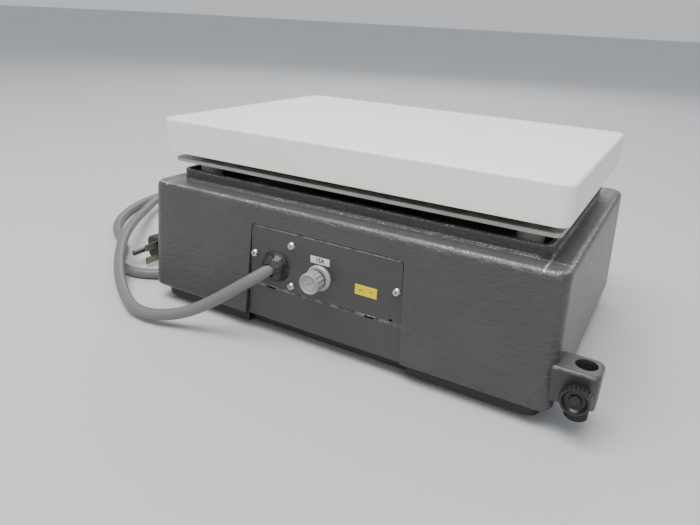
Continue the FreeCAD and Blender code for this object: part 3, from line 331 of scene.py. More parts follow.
def panel_paint():
    """The same grey on flat sheet: smoother, with rubbed streaks, a painted highlight along its top edge and
    painted highlights along the seam, brightest on its tabs.
    """
    f = wrinkle_paint("panel_paint", (0.040, 0.041, 0.040), 0.0022, 0.00012, 0.40)
    x, z = f.axis("X"), f.axis("Z")
    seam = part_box("rear_panel")[0].z
    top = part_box("rear_panel")[1].z
    # a painted highlight along the panel's top edge
    top_edge_highlight = z.step(top - 0.0007, top - 0.0003) * f.noise(0.004, 3).step(0.3, 0.6)
    f.tint(top_edge_highlight * 0.8, (0.30, 0.31, 0.29))
    # painted highlights along the seam: bright on the two tabs, fainter along the rest
    near_seam = z.band(seam - 0.0003, 0.0005, 0.0007)
    tabs = x.band(at(-38.5, 0, 0).x, 0.0042, 0.0012) + x.band(at(43.5, 0, 0).x, 0.0026, 0.001) * 0.7
    ragged = f.noise(0.0016, 4, 0.7).step(0.45, 0.58)
    f.tint(near_seam * tabs * ragged * 0.95, (0.62, 0.60, 0.56))
    f.tint(near_seam * f.noise(0.006, 3).step(0.42, 0.60) * 0.6, (0.30, 0.30, 0.28))
    rub = f.noise(0.02, 5, 0.7, stretch=(1, 1, 4)).step(0.58, 0.78)
    f.tint(rub * 0.18, (0.12, 0.12, 0.115))
    return f


def clamp_paint():
    """The clamp block's smooth grey paint, with a painted highlight along its top edge and its top painted
    lighter as painted light.
    """
    f = wrinkle_paint("clamp_paint", (0.036, 0.035, 0.037), 0.0018, 0.00012, 0.33)
    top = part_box("rod_clamp_block")[1].z
    z = f.axis("Z")
    # painted highlight along the top edge, and the top face painted lighter as painted light
    lit_top_edge = z.band(top - 0.0012, 0.0002, 0.0006) * f.noise(0.003, 3).step(0.40, 0.7)
    f.tint(lit_top_edge * 0.5, (0.26, 0.25, 0.25))
    f.tint(z.step(top - 0.0008, top - 0.0002) * 0.45, (0.12, 0.118, 0.122))
    return f


def black_paint():
    """Flat black stove paint on the tray and deck."""
    f = Finish("black_paint", (0.016, 0.016, 0.016), 0.55)
    f.tint(f.noise(0.01, 5, 0.65).step(0.5, 0.8) * 0.5, (0.045, 0.044, 0.042))
    f.bump(f.noise(0.0012, 3), 0.00008, 0.5)
    f.set("Roughness", 0.48 + f.noise(0.02, 3) * 0.2)
    return f


def heated_sheet():
    """Bare sheet steel that heat has dulled and tinted."""
    f = Finish("heated_sheet", (0.42, 0.42, 0.40), 0.38, 0.85)
    f.tint(f.noise(0.05, 4).step(0.4, 0.7) * 0.6, (0.27, 0.24, 0.20))
    f.tint(f.noise(0.004, 5, 0.7, stretch=(0.2, 1, 1)).step(0.5, 0.8) * 0.4, (0.52, 0.52, 0.51))
    f.set("Roughness", 0.30 + f.noise(0.012, 4) * 0.25)
    f.bump(f.noise(0.0015, 3, stretch=(0.1, 1, 1)), 0.00004, 0.4)
    return f


def metal(name, colour, rough, streak=(1, 1, 1), grain=0.003):
    """Plated or bare metal with fine marks along one way."""
    f = Finish(name, colour, rough, 1.0)
    dull = tuple(c * 0.62 for c in colour)
    f.tint(f.noise(grain * 3, 4, 0.6, stretch=streak).step(0.45, 0.8) * 0.55, dull)
    f.set("Roughness", rough - 0.05 + f.noise(grain, 4, 0.6, stretch=streak) * 0.22)
    f.bump(f.noise(grain * 0.4, 3, stretch=streak), 0.00003, 0.35)
    return f


def plastic(name, colour, rough, grain=0.0012, depth=0.00004, dust_and_painted_light=0.25, **sockets):
    """Moulded plastic or rubber with a fine grain and a little dust."""
    f = Finish(name, colour, rough, **sockets)
    pale = tuple(c * 0.7 + 0.09 for c in colour)
    f.tint(f.noise(0.012, 5, 0.65).step(0.52, 0.82) * dust_and_painted_light, pale)
    f.set("Roughness", rough - 0.05 + f.noise(0.006, 3) * 0.14)
    f.bump(f.noise(grain, 3), depth, 0.5)
    return f


def cord_jacket():
    """Grey vinyl jacket: satin, with long faint marks and small scuffs."""
    f = Finish("cord_jacket", (0.150, 0.146, 0.140), 0.44, Coat_Weight=0.10, Coat_Roughness=0.35)
    f.tint(f.noise(0.02, 4).step(0.4, 0.75) * 0.35, (0.19, 0.185, 0.178))
    f.tint(f.noise(0.0035, 5, 0.7).step(0.58, 0.8) * 0.40, (0.06, 0.057, 0.056))
    f.tint(f.noise(0.0018, 3).step(0.70, 0.80) * 0.4, (0.28, 0.27, 0.26))
    f.set("Roughness", 0.36 + f.noise(0.008, 3) * 0.16)
    f.bump(f.noise(0.0022, 3), 0.00006, 0.5)
    return f


def gland_rubber():
    """Black potting, glossy and lumpy."""
    f = Finish("gland_rubber", (0.004, 0.004, 0.005), 0.2, Coat_Weight=0.45, Coat_Roughness=0.12)
    lumps = f.noise(0.0016, 4, 0.6)
    f.bump(lumps, 0.0013, 1.0)
    # the tops of the lumps are painted a little lighter as painted highlights
    f.tint(lumps.step(0.62, 0.8) * 0.25, (0.04, 0.04, 0.04))
    f.set("Roughness", 0.16 + f.noise(0.003, 3) * 0.16)
    return f


def mineral_wool():
    """Matted pale fibres of the insulation blanket."""
    f = Finish("mineral_wool", (0.66, 0.63, 0.56), 0.95, Sheen_Weight=0.3)
    fibres = f.noise(0.002, 6, 0.75, stretch=(1, 0.25, 1))
    f.tint(fibres.step(0.45, 0.7) * 0.6, (0.48, 0.45, 0.38))
    f.bump(fibres, 0.0006, 0.9)
    return f


def circuit_board():
    """Green board with paler tracks in a loose grid."""
    f = Finish("circuit_board", (0.012, 0.075, 0.030), 0.32, Coat_Weight=0.4)
    x, y = f.axis("X"), f.axis("Y")
    lines = x.calc("SINE", x * 2600).step(0.55, 0.75) * f.noise(0.012, 1).step(0.45, 0.55)
    cross = y.calc("SINE", y * 2300).step(0.6, 0.8) * f.noise(0.009, 1).step(0.5, 0.6)
    f.tint(lines.calc("MAXIMUM", lines, cross) * 0.7, (0.03, 0.16, 0.07))
    f.bump(lines, 0.00005, 0.5)
    return f


def fill(nodes, finish):
    """Gives CAD nodes their finish."""
    for name in nodes:
        slots = NODES[name].data.materials
        slots.clear()
        slots.append(finish.material)


def finish_nodes():
    """Every CAD node's own material."""
    fill(["top_plate"], plate_ceramic())
    fill(["housing"], housing_paint())
    fill(["rear_panel", "rear_apron"], panel_paint())
    fill(["rod_clamp_block"], clamp_paint())
    fill(["base_pan", "deck_plate"], black_paint())
    fill(["heat_shield"], heated_sheet())
    fill(["plate_posts", "plate_spacers"], plastic("post_ceramic", (0.34, 0.33, 0.32), 0.6))
    zinc = metal("zinc_plate", (0.56, 0.56, 0.54), 0.34)
    fill(["plate_studs", "stud_nuts", "base_screws", "terminal_bracket"], zinc)
    fill(["probe_socket_clip", "element_clamp_plate", "plate_sensor", "dial_shaft", "clamp_stud"], zinc)
    fill(["heating_element"], metal("element_sheath", (0.20, 0.17, 0.15), 0.55))
    fill(["insulation_blanket"], mineral_wool())
    grey = plastic("fuse_grey", (0.36, 0.36, 0.35), 0.38, dust_and_painted_light=0.35)
    fill(["fuse_holder", "fuse_cap"], grey)
    fill(["fuse_contacts", "fuse_ferrules"], metal("tinned_brass", (0.66, 0.60, 0.48), 0.3))
    fill(["probe_contacts"], metal("contact_alloy", (0.52, 0.36, 0.22), 0.4))
    glass = Finish("fuse_glass", (0.85, 0.92, 0.90), 0.06, Transmission_Weight=0.85, IOR=1.48)
    glass.tint(glass.noise(0.006, 2).step(0.5, 0.8) * 0.3, (0.7, 0.74, 0.70))
    fill(["fuse_tube"], glass)
    fill(["fuse_label"], plastic("label_film", (0.62, 0.68, 0.60), 0.42, dust_and_painted_light=0.5))
    fill(["probe_socket"], plastic("probe_yellow", (0.78, 0.60, 0.0), 0.42, dust_and_painted_light=0.0))
    black = plastic("black_nylon", (0.014, 0.014, 0.014), 0.40)
    fill(["gland_locknut", "fuse_holder_nut", "terminal_block"], black)
    fill(["clamp_tip", "rocker_frame"], black)
    fill(["cord_gland"], gland_rubber())
    fill(["clamp_knob", "heat_knob"], plastic("knob_black", (0.012, 0.012, 0.013), 0.30, dust_and_painted_light=0.3))
    fill(["power_rocker"], plastic("rocker_black", (0.012, 0.012, 0.012), 0.25, dust_and_painted_light=0.15))
    fill(["rubber_feet", "rod_stop"], plastic("foot_rubber", (0.018, 0.018, 0.018), 0.75, 0.002, 0.0001))
    fill(["front_fascia"], plastic("fascia_face", (0.045, 0.046, 0.048), 0.34, 0.0009, 0.00003, 0.2))
    fill(["dial_scale"], plastic("dial_white", (0.70, 0.70, 0.67), 0.4, dust_and_painted_light=0.1))
    lens = Finish("lamp_amber", (0.85, 0.22, 0.02), 0.12, Transmission_Weight=0.5, Coat_Weight=0.5)
    lens.bump(lens.cells(0.0016), 0.0002, 0.6)
    fill(["pilot_lamp"], lens)
    fill(["heat_regulator"], plastic("tan_phenolic", (0.30, 0.20, 0.10), 0.45))
    fill(["control_board"], circuit_board())
    fill(["board_components"], plastic("component_case", (0.03, 0.06, 0.16), 0.35))
    fill(["triac"], plastic("triac_case", (0.012, 0.012, 0.012), 0.35))
    fill(["board_standoffs"], plastic("nylon_white", (0.72, 0.72, 0.68), 0.45))
    fill(["transformer_core"], metal("core_laminations", (0.20, 0.18, 0.17), 0.5, (1, 1, 12)))
    fill(["transformer_winding"], plastic("winding_tape", (0.62, 0.46, 0.06), 0.4))
    fill(["heat_sink"], metal("sink_alloy", (0.58, 0.58, 0.58), 0.45, (1, 0.1, 1)))
    fill(["internal_wires"], plastic("wire_cover", (0.30, 0.03, 0.02), 0.45))
    fill(["plug_pins"], metal("plug_brass", (0.26, 0.24, 0.19), 0.34))


# ------------------------------------------------------------------ making meshes
def link(name, mesh):
    """A new object in the scene."""
    thing = bpy.data.objects.new(name, mesh)
    bpy.context.scene.collection.objects.link(thing)
    return thing


def tidy_mesh(mesh, sharp=38):
    """Merges doubles, turns the faces outwards and keeps only real corners sharp."""
    form = bmesh.new()
    form.from_mesh(mesh)
    bmesh.ops.remove_doubles(form, verts=form.verts, dist=1e-6)
    bmesh.ops.recalc_face_normals(form, faces=form.faces)
    form.to_mesh(mesh)
    form.free()
    mesh.shade_smooth()
    mesh.set_sharp_from_angle(angle=math.radians(sharp))


def along(direction):
    """The turn that brings +Z to a direction."""
    return UP.rotation_difference(direction).to_matrix().to_4x4()


def skinned(name, points, steps, capped):
    """A skin over rings of points, each with so many steps, and a flat face on each capped ring."""
    faces = []
    for row in range(len(points) // steps - 1):
        for i in range(steps):
            a, b = row * steps + i, row * steps + (i + 1) % steps
            faces.append((a, b, b + steps, a + steps))
    for row in capped:
        faces.append([row * steps + i for i in range(steps)])
    mesh = bpy.data.meshes.new(name)
    mesh.from_pydata(points, [], faces)
    tidy_mesh(mesh)
    return link(name, mesh)


def lathe(name, profile, place, direction, steps=96, shape=None):
    """A turned piece from (radius, height) in millimetres; shape(angle, radius, height) bends it.

    A profile that comes back to its start makes a ring. Any other end off the axis is capped."""
    points = []
    turn = Matrix.Translation(place) @ along(direction)
    for radius, height in profile:
        for i in range(steps):
            angle = 2 * math.pi * i / steps
            r = shape(angle, radius, height) if shape else radius
            spot = Vector((r * math.cos(angle), r * math.sin(angle), height)) * MM
            points.append(turn @ spot)
    is_ring = profile[0] == profile[-1]
    capped = [row for row in (0, len(profile) - 1) if profile[row][0] > 0 and not is_ring]
    return skinned(name, points, steps, capped)


def settle(thing, finish, body, replaced=()):
    """Gives a finished piece its finish, its body and the nodes it stands for."""
    thing.data.materials.clear()
    thing.data.materials.append(finish.material)
    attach(thing, body)
    if replaced:
        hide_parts(*replaced)
    return thing


def baked(thing):
    """Turns an object with modifiers into one plain mesh."""
    bpy.context.view_layer.update()
    graph = bpy.context.evaluated_depsgraph_get()
    mesh = bpy.data.meshes.new_from_object(thing.evaluated_get(graph))
    thing.modifiers.clear()
    old = thing.data
    thing.data = mesh
    mesh.name = thing.name
    if isinstance(old, bpy.types.Mesh):
        bpy.data.meshes.remove(old)
    return thing


def repeat_tree():
    """Geometry Nodes: one model stood on every point of a mesh and turned by its "turn"."""
    tree = bpy.data.node_groups.new("repeat_model", "GeometryNodeTree")
    face = tree.interface
    face.new_socket("Geometry", in_out="INPUT", socket_type="NodeSocketGeometry")
    face.new_socket("Model", in_out="INPUT", socket_type="NodeSocketObject")
    face.new_socket("Finish", in_out="INPUT", socket_type="NodeSocketMaterial")
    face.new_socket("Size", in_out="INPUT", socket_type="NodeSocketFloat")
    face.new_socket("Geometry", in_out="OUTPUT", socket_type="NodeSocketGeometry")
    make = tree.nodes.new
    start, end = make("NodeGroupInput"), make("NodeGroupOutput")
    model, stand = make("GeometryNodeObjectInfo"), make("GeometryNodeInstanceOnPoints")
    turn, euler = make("GeometryNodeInputNamedAttribute"), make("FunctionNodeEulerToRotation")
    real, paint = make("GeometryNodeRealizeInstances"), make("GeometryNodeSetMaterial")
    turn.data_type = "FLOAT_VECTOR"
    turn.inputs["Name"].default_value = "turn"
    wires = [
        (start.outputs["Geometry"], stand.inputs["Points"]),
        (start.outputs["Model"], model.inputs["Object"]),
        (model.outputs["Geometry"], stand.inputs["Instance"]),
        (turn.outputs["Attribute"], euler.inputs["Euler"]),
        (euler.outputs["Rotation"], stand.inputs["Rotation"]),
        (start.outputs["Size"], stand.inputs["Scale"]),
        (stand.outputs["Instances"], real.inputs["Geometry"]),
        (real.outputs["Geometry"], paint.inputs["Geometry"]),
        (start.outputs["Finish"], paint.inputs["Material"]),
        (paint.outputs["Geometry"], end.inputs["Geometry"]),
    ]
    for source, target in wires:
        tree.links.new(source, target)
    return tree


def repeated(name, model, places, finish, size=1.0):
    """Copies of a model at (place, turn) pairs, as one plain mesh. The model is used up."""
    tree = bpy.data.node_groups.get("repeat_model") or repeat_tree()
    mesh = bpy.data.meshes.new(name)
    mesh.from_pydata([place for place, turn in places], [], [])
    turns = mesh.attributes.new("turn", "FLOAT_VECTOR", "POINT")
    for item, (place, turn) in zip(turns.data, places):
        item.vector = turn.to_euler()
    thing = link(name, mesh)
    modifier = thing.modifiers.new("repeat", "NODES")
    modifier.node_group = tree
    values = {"Model": model, "Finish": finish.material, "Size": size}
    for socket in tree.interface.items_tree:
        if socket.in_out == "INPUT" and socket.name in values:
            modifier[socket.identifier] = values[socket.name]
    baked(thing)
    bpy.data.objects.remove(model)
    thing.data.shade_smooth()
    thing.data.set_sharp_from_angle(angle=math.radians(38))
    return thing


def carve(thing, cutters):
    """Cuts pieces out of another with Boolean modifiers, and throws the cutters away."""
    for cutter in cutters:
        cutting = thing.modifiers.new("cut", "BOOLEAN")
        cutting.object = cutter
        cutting.solver = "EXACT"
    baked(thing)
    for cutter in cutters:
        bpy.data.objects.remove(cutter)
    return thing


def bar(name, length, width, high, place=Vector(), turn=None, bevel=0.0):
    """A block with bevelled edges, in millimetres, about a place in metres."""
    form = bmesh.new()
    bmesh.ops.create_cube(form, size=1)
    bmesh.ops.scale(form, vec=(length * MM, width * MM, high * MM), verts=form.verts)
    if bevel:
        bmesh.ops.bevel(
            form, geom=form.edges[:], offset=bevel * MM, segments=3, affect="EDGES", profile=0.6
        )
    shift = Matrix.Translation(place) @ (turn.to_matrix().to_4x4() if turn else Matrix())
    bmesh.ops.transform(form, matrix=shift, verts=form.verts)
    mesh = bpy.data.meshes.new(name)
    form.to_mesh(mesh)
    form.free()
    return link(name, mesh)


# ------------------------------------------------------------------ the mains lead
# places that the lead runs through, from the gland to the coil, and from the coil to the plug
LEAD_ROUTE = [
    (36.5, 117.5, 60.2), (46.0, 128.0, 52.5), (60.0, 135.0, 42.0), (76.0, 140.5, 30.0),
    (93.0, 144.5, 19.0), (111.0, 149.0, 11.0), (130.0, 154.0, 7.5), (149.0, 153.5, 7.0),
    (169.0, 145.0, 9.5), (190.0, 131.5, 14.0), (212.0, 113.5, 19.0), (237.0, 88.0, 23.5),
    (259.0, 61.5, 23.5), (284.0, 31.0, 20.0), (312.0, -5.5, 14.5), (337.0, -42.0, 12.0),
    (347.0, -70.0, 15.5), (351.0, -98.0, 19.0), (348.0, -127.0, 19.0), (337.0, -152.0, 13.5),
    (318.0, -171.0, 7.5), (292.0, -183.0, 4.6), (263.0, -186.0, 4.6), (234.0, -181.0, 4.6),
    (208.0, -167.0, 4.6), (189.0, -145.0, 4.6), (178.0, -118.0, 4.6), (173.5, -88.0, 4.6),
    (172.5, -54.0, 4.6), (173.0, -18.0, 4.6), (172.0, 17.0, 4.6), (172.6, 46.0, 4.6),
    (173.4, 70.4, 4.6), (184.0, 89.2, 4.6), (202.4, 100.1, 4.6), (223.9, 100.5, 4.6),
    (242.6, 90.2, 4.6), (257.0, 73.0, 4.6), (273.0, 58.0, 4.6), (291.0, 46.5, 4.6),
    (311.0, 33.5, 4.6), (329.0, 16.5, 4.6), (344.5, -5.0, 4.6), (357.0, -30.0, 4.6),
    (366.0, -56.0, 4.6), (370.5, -83.0, 4.6), (366.0, -107.0, 4.6), (353.0, -127.5, 4.6),
    (332.0, -139.0, 4.6), (304.0, -142.5, 4.6),
]
PLUG_LEAD_ROUTE = [(217.0, -58.0, 13.2), (220.0, -31.0, 12.5), (220.0, 1.0, 12.5)]


def coil_route():
    """A turn and a quarter on the floor and then on itself, clockwise from above."""
    step, count = 22.95, 20
    climb_starts, climb_lasts, second_layer = 195, 115, 9.1
    points = []
    for i in range(count + 1):
        turned = step * i
        angle = math.radians(270 - turned)
        climb = min(1.0, max(0.0, (turned - climb_starts) / climb_lasts))
        high = LEAD_ON_FLOOR + second_layer * climb * climb * (3 - 2 * climb)
        radius = COIL_RADIUS * (1 - 0.02 * climb)
        points.append((COIL_X + radius * math.cos(angle), COIL_Y + radius * math.sin(angle), high))
    return points


def make_lead(plug_pieces):
    """The whole lead as one curve, from inside the gland to the plug."""
    route = LEAD_ROUTE + coil_route() + PLUG_LEAD_ROUTE
    curve = bpy.data.curves.new("mains_lead", "CURVE")
    curve.dimensions = "3D"
    line = curve.splines.new("NURBS")
    line.points.add(len(route) - 1)
    for point, spot in zip(line.points, route):
        point.co = (*at(*spot), 1)
    line.order_u = 3
    line.use_endpoint_u = True
    curve.resolution_u = 10
    curve.bevel_depth = LEAD_DIAMETER / 2 * MM
    curve.bevel_resolution = 7
    curve.use_fill_caps = True
    lead = link("mains_lead", curve)
    settle(lead, cord_jacket(), "base", ("power_cord", "plug_lead", "cord_coil"))
    tuple(at(41, 123, 56.5))


def make_coil_tie():
    """A black strap round both layers of the coil, where the second lies on the first."""
    angle = math.radians(221)
    radius, high = 49.6, 9.3
    place = at(COIL_X + radius * math.cos(angle), COIL_Y + radius * math.sin(angle), high)
    turn = Quaternion((0, 0, 1), angle)
    strap = bar("coil_tie", 11.6, 12.0, 18.0, place, turn, bevel=2.0)
    inside = bar("tie_cutter", 9.9, 14.0, 16.4, place, turn)
    carve(strap, [inside])
    tidy_mesh(strap.data)
    cloth = plastic("tie_strap", (0.015, 0.015, 0.016), 0.7, 0.0008, 0.0001)
    settle(strap, cloth, "base", ())


def plug_sections():
    """Sections of the plug: depth behind its face, half width, half height and roundness."""
    body = (
        (0.0, 23.4, 20.6), (0.7, 25.2, 22.2), (2.0, 26.0, 23.0), (9.0, 26.0, 23.0), (16.0, 24.6, 22.0),
        (24.0, 21.0, 19.6), (31.0, 16.6, 16.2), (35.6, 14.4, 14.4), (37.0, 13.6, 13.6),
    )
    sections = [(depth, wide / 2, tall / 2, 0.42 + 0.0155 * depth) for depth, wide, tall in body]
    relief_starts, rings, pitch = 38.0, 9, 2.6
    for i in range(rings):
        depth = relief_starts + i * pitch
        ring = 6.9 - i * 0.19
        groove_rim, groove = ring - 0.9, ring - 0.95
        sections += [(depth, ring, ring, 1), (depth + 1.3, ring, ring, 1)]
        sections += [(depth + 1.5, groove_rim, groove_rim, 1), (depth + 2.3, groove, groove, 1)]
    sections.append((61.0, 4.9, 4.9, 1))
    return sections


def make_plug_ribs(rubber, face_y):
    """Grip ribs on the plug's top and underside."""
    rib = bar("grip_rib_model", 1.2, 9.0, 1.0, bevel=0.35)
    places = []
    for side in (1, -1):
        for i in range(5):
            place = at(PLUG_X + (i - 2) * 2.6, 0, PLUG_Z + side * 11.2)
            place.y = face_y - 8.5 * MM
            places.append((place, Quaternion()))
    ribs = repeated("plug_grip_ribs", rib, places, rubber)
    return settle(ribs, rubber, "base", ())


def make_plug():
    """A moulded plug with grip ribs, narrowing into its ringed strain relief."""
    face_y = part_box("plug_body")[1].y
    sections = plug_sections()
    steps = 64
    points = []
    for depth, across, tall, round_off in sections:
        power = 2.0 + 4.5 * (1 - min(1.0, round_off))
        for i in range(steps):
            angle = 2 * math.pi * i / steps
            c, s = math.cos(angle), math.sin(angle)
            stretch = (abs(c) ** power + abs(s) ** power) ** (-1 / power)
            spot = at(PLUG_X, 0, PLUG_Z) + Vector((across * c * stretch * MM, 0, tall * s * stretch * MM))
            spot.y = face_y - depth * MM
            points.append(spot)
    plug = skinned("mains_plug", points, steps, (0, len(sections) - 1))
    rubber = plastic("plug_vinyl", (0.030, 0.030, 0.031), 0.45, 0.0012, 0.00006, 0.35)
    settle(plug, rubber, "base", ("plug_body", "plug_relief"))
    return [plug, make_plug_ribs(rubber, face_y)]


# ------------------------------------------------------------------ pieces on the rear
def make_gland():
    """The lumpy black dome of the cord gland, with its stem through the panel."""
    rng = random.Random(4)
    reach, base_radius, hole_radius = 9.0, 11.8, 4.7
    lumps = [
        (rng.uniform(0, 2 * math.pi), rng.uniform(0.5, 8.5), rng.uniform(0.2, 0.5), rng.uniform(-0.9, 0.6))
        for _ in range(26)
    ]

    def lumpy(angle, radius, height):
        """Swells or dents the dome by the lumps near an angle and a height."""
        if radius < 5.2 or height < 0.3:
            return radius
        swell = 0.0
        for where, level, wide, amount in lumps:
            turn = (angle - where + math.pi) % (2 * math.pi) - math.pi
            swell += amount * math.exp(-((turn / wide) ** 2) - ((height - level) / 2.2) ** 2)
        return max(hole_radius, min(radius + swell * 0.8, base_radius))

    stem = 8.0
    profile = [(4.9, -12), (stem, -12), (stem, 0.0), (base_radius - 0.1, 0.0), (base_radius, 0.3)]
    rings = 16
    for i in range(1, rings + 1):
        share = i / rings
        slope = base_radius - 2.2 * share - 4.2 * share**2.2
        profile.append((slope, 0.3 + (reach - 0.5) * share**1.15))
    profile += [(5.0, reach), (4.6, reach - 1.5)]
    place = middle("cord_gland")
    place.y = PANEL_Y
    dome = lathe("cord_gland_dome", profile, place, REAR, 96, lumpy)
    return settle(dome, Finish.made["gland_rubber"], "base", ("cord_gland",))


def make_fuse_cap():
    """The light grey fuse cap: close grips round its side, and a dished end inside a rim."""
    grips = 14

    def gripped(angle, radius, height):
        """Hollows the side between the grips."""
        if radius < 6.9 or height < 5.0 or height > 13.0:
            return radius
        wave = 0.5 + 0.5 * math.cos(grips * angle)
        return radius - 0.75 * (1 - wave**0.5)

    profile = [
        (0, 1.1), (3.25, 1.1), (3.25, -4.8), (5.82, -4.8), (5.82, 3.0), (6.2, 3.0), (6.2, 4.8), (7.1, 4.9),
        (7.7, 5.4), (7.7, 9.0), (7.7, 12.6), (7.5, 13.4), (7.0, 13.95), (6.5, 13.95), (6.2, 13.5),
        (6.0, 12.9), (5.5, 12.7), (5.1, 12.7), (4.9, 13.0), (4.4, 13.0), (4.2, 12.6), (2.0, 12.5), (0, 12.5),
    ]
    place = middle("fuse_cap")
    place.y = PANEL_Y
    cap = lathe("fuse_cap_grip", profile, place, REAR, 168, gripped)
    slot_place = place + Vector((0, 12.7 * MM, 0))
    slot = bar("slot_cutter", 6.0, 1.2, 1.1, slot_place, Quaternion((0, 1, 0), math.radians(25)))
    carve(cap, [slot])
    tidy_mesh(cap.data)
    worn = plastic("fuse_cap_worn", (0.34, 0.335, 0.33), 0.36, dust_and_painted_light=0.5)
    worn.tint(worn.noise(0.0016, 4, 0.7).step(0.55, 0.72) * 0.45, (0.13, 0.13, 0.13))
    settle(cap, worn, "fuse_cap", ("fuse_cap",))
    # a black ring in the neck between the flange and the cap stands for the painted shade in that gap
    ring = [(6.25, 3.05), (6.75, 3.05), (7.0, 3.5), (6.9, 4.75), (6.25, 4.75), (6.25, 3.05)]
    neck_shade = lathe("fuse_cap_seal", ring, place, REAR, 72)
    settle(neck_shade, Finish.made["black_nylon"], "fuse_cap", ())


def screw_model(name, diameter, high):
    """A pan head with a cross recess, standing on its seat along +Z."""
    r = diameter / 2
    profile = [
        (0, 0), (r, 0), (r, high * 0.32), (r * 0.93, high * 0.62), (r * 0.74, high * 0.86),
        (r * 0.45, high * 0.98), (0, high),
    ]
    head = lathe(name, profile, Vector(), UP, 48)
    cutters = []
    for i in range(2):
        turn = Quaternion((0, 0, 1), math.pi / 2 * i)
        place = Vector((0, 0, high * 0.85 * MM))
        cutters.append(bar(f"{name}_cutter_{i}", r * 1.15, r * 0.26, high * 1.1, place, turn))
    return carve(head, cutters)


def make_screws():
    """The four panel screws, each with its recess turned its own way."""
    rng = random.Random(11)
    shine = metal("screw_nickel", (0.58, 0.57, 0.52), 0.26, grain=0.0015)
    for node, name in (("panel_screws", "panel_screw_heads"), ("bracket_screws", "bracket_screw_heads")):
        low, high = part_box(node)
        spread = SCREW_HEAD_DIAMETER / 2 * MM
        if node == "panel_screws":
            z = (low.z + high.z) / 2
            spots = [(low.x + spread, z), (high.x - spread, z)]
        else:
            x = (low.x + high.x) / 2
            spots = [(x, low.z + spread), (x, high.z - spread)]
        places = []
        for x, z in spots:
            spin = Quaternion((0, 0, 1), rng.uniform(0, math.pi / 2))
            places.append((Vector((x, PANEL_Y, z)), UP.rotation_difference(REAR) @ spin))
        model = screw_model(f"{name}_model", SCREW_HEAD_DIAMETER, SCREW_HEAD_HEIGHT)
        heads = repeated(name, model, places, shine)
        settle(heads, shine, "base", ())
    fill(["panel_screws", "bracket_screws"], shine)


def make_text(name, words, size, place, turn, depth, finish, body, bold=0.0):
    """Raised lettering, its strokes made bold millimetres fatter. Only ratings and plain numbers."""
    curve = bpy.data.curves.new(name, "FONT")
    curve.body = words
    curve.size = size * MM
    curve.extrude = depth * MM
    curve.offset = bold * MM
    curve.align_x = "CENTER"
    curve.align_y = "CENTER"
    source = link(name + "_source", curve)
    bpy.context.view_layer.update()
    graph = bpy.context.evaluated_depsgraph_get()
    mesh = bpy.data.meshes.new_from_object(source.evaluated_get(graph))
    mesh.transform(Matrix.Translation(place) @ turn)
    bpy.data.objects.remove(source)
    letters = link(name, mesh)
    return settle(letters, finish, body, ())


def facing(direction):
    """The turn that stands flat lettering upright and facing a direction."""
    right = UP.cross(direction)
    return Matrix((right, UP, direction)).transposed().to_4x4()


def make_label_text():
    """The fuse's rating on its label."""
    ink = plastic("label_ink", (0.010, 0.020, 0.014), 0.6, dust_and_painted_light=0.0)
    place = middle("fuse_label")
    place.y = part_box("fuse_label")[1].y + 0.02 * MM
    make_text("label_rating", "15A", 4.4, place, facing(REAR), 0.03, ink, "base", 0.12)


def make_clamp_knob():
    """The clamp's black knob: fine grips, a raised rim and a dished face."""
    grips = 22

    def gripped(angle, radius, height):
        """Cuts grooves between the grips."""
        if radius < 8.6 or height < 3.0 or height > 8.8:
            return radius
        return radius - 0.7 * (0.5 + 0.5 * math.cos(grips * angle)) ** 2

    profile = [
        (0, 2.0), (5.0, 2.0), (5.0, 2.6), (8.6, 2.6), (9.15, 3.2), (9.15, 5.5), (9.15, 8.0), (8.7, 9.0),
        (8.0, 9.3), (7.3, 9.1), (6.6, 7.4), (5.9, 6.7), (3.6, 6.6), (3.3, 7.6), (2.9, 7.9), (0, 7.9),
    ]
    knob_height = 9.3
    place = middle("clamp_knob")
    place.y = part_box("clamp_knob")[1].y - knob_height * MM
    knob = lathe("clamp_knob_grip", profile, place, REAR, 160, gripped)
    return settle(knob, Finish.made["knob_black"], "clamp_screw", ("clamp_knob",))


# ------------------------------------------------------------------ pieces on the front
def make_heat_knob():
    """The heat dial's knob: skirt, deep grips and a white pointer line."""
    grips = 18

    def gripped(angle, radius, height):
        """Cuts deep grooves between the grips, over the skirt."""
        if radius < 13 or height < 5.2 or height > 12.4:
            return radius
        return radius - 1.3 * (0.5 + 0.5 * math.cos(grips * angle)) ** 1.5

    profile = [
        (0, 11.0), (3.05, 11.0), (3.05, 1.2), (19.2, 1.2), (20.0, 1.8), (20.0, 3.4), (19.2, 4.4),
        (17.4, 5.0), (16.4, 6.0), (16.1, 9.0), (15.8, 12.2), (15.0, 13.4), (13.8, 13.9), (10.5, 13.95),
        (9.8, 13.5), (0, 13.5),
    ]
    knob_height = 14.0
    place = middle("heat_knob")
    place.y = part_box("heat_knob")[0].y + knob_height * MM
    knob = lathe("heat_knob_grip", profile, place, FRONT, 144, gripped)
    settle(knob, Finish.made["knob_black"], "dial", ("heat_knob",))
    white = plastic("mark_white", (0.78, 0.78, 0.76), 0.4, dust_and_painted_light=0.1)
    mark_place = place + Vector((0, -13.75 * MM, 12.0 * MM))
    line = bar("heat_knob_line", 1.4, 0.35, 6.4, mark_place, bevel=0.1)
    settle(line, white, "dial", ())
    skirt_place = place + Vector((0, -2.6 * MM, 19.85 * MM))
    tick = bar("heat_knob_skirt_line", 1.2, 2.6, 0.25, skirt_place, bevel=0.08)
    settle(tick, white, "dial", ())


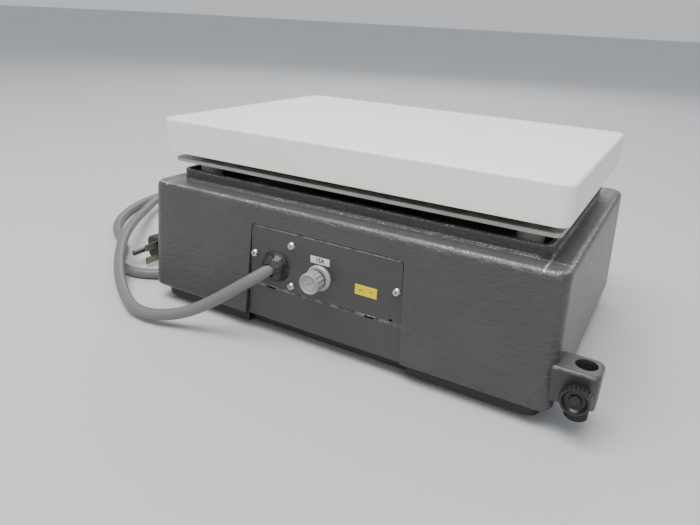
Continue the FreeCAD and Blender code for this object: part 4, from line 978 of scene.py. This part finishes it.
def make_dial_marks():
    """Ticks and the numbers 0 to 10 round the dial, printed on the fascia."""
    white = Finish.made["mark_white"]
    centre = middle("dial_scale")
    centre.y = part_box("dial_scale")[0].y
    fascia_low, fascia_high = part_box("front_fascia")
    sweep, ticks, numbers = 300, 31, 11
    tick_ring, number_ring, room = 21.5, 25.6, 2 * MM
    places = []
    for i in range(ticks):
        angle = math.radians(sweep * i / (ticks - 1))
        out = Vector((math.sin(angle), 0, math.cos(angle)))
        places.append((centre + out * tick_ring * MM, Quaternion((0, 1, 0), angle)))
    black = plastic("mark_black", (0.02, 0.02, 0.02), 0.5, dust_and_painted_light=0.1)
    model = bar("tick_model", 0.5, 0.12, 1.9)
    marks = repeated("dial_ticks", model, places, black)
    settle(marks, black, "base", ())
    for number in range(numbers):
        angle = math.radians(sweep * number / (numbers - 1))
        out = Vector((math.sin(angle), 0, math.cos(angle)))
        spot = Vector((centre.x, fascia_low.y, centre.z)) + out * number_ring * MM
        if spot.z + room > fascia_high.z or spot.z - room < fascia_low.z:
            continue
        spot.y -= 0.02 * MM
        name, turn = f"dial_number_{number}", facing(FRONT)
        make_text(name, str(number), 4.2, spot, turn, 0.03, white, "base")


def make_rocker_marks():
    """The I and O of the power switch, which ride on its paddle."""
    white = Finish.made["mark_white"]
    low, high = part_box("power_rocker")
    x, z = (low.x + high.x) / 2, (low.z + high.z) / 2
    upper = Vector((x, low.y + 3.62 * MM, z + 5.4 * MM))
    lean = Quaternion((1, 0, 0), math.radians(-4.6))
    stroke = bar("rocker_line", 0.9, 0.16, 4.4, upper, lean)
    settle(stroke, white, "rocker", ())
    lower = Vector((x, low.y + 2.0 * MM, z - 5.0 * MM))
    ring = [(1.5, 0), (2.1, 0), (2.1, 0.16), (1.5, 0.16), (1.5, 0)]
    slope = math.radians(21.8)
    away = Vector((0, -math.cos(slope), -math.sin(slope)))
    circle = lathe("rocker_circle", ring, lower, away, 48)
    settle(circle, white, "rocker", ())


set_camera()
finish_nodes()
set_stage()
make_lead(make_plug())
make_coil_tie()
make_gland()
make_fuse_cap()
make_screws()
make_label_text()
make_clamp_knob()
make_heat_knob()
make_dial_marks()
make_rocker_marks()
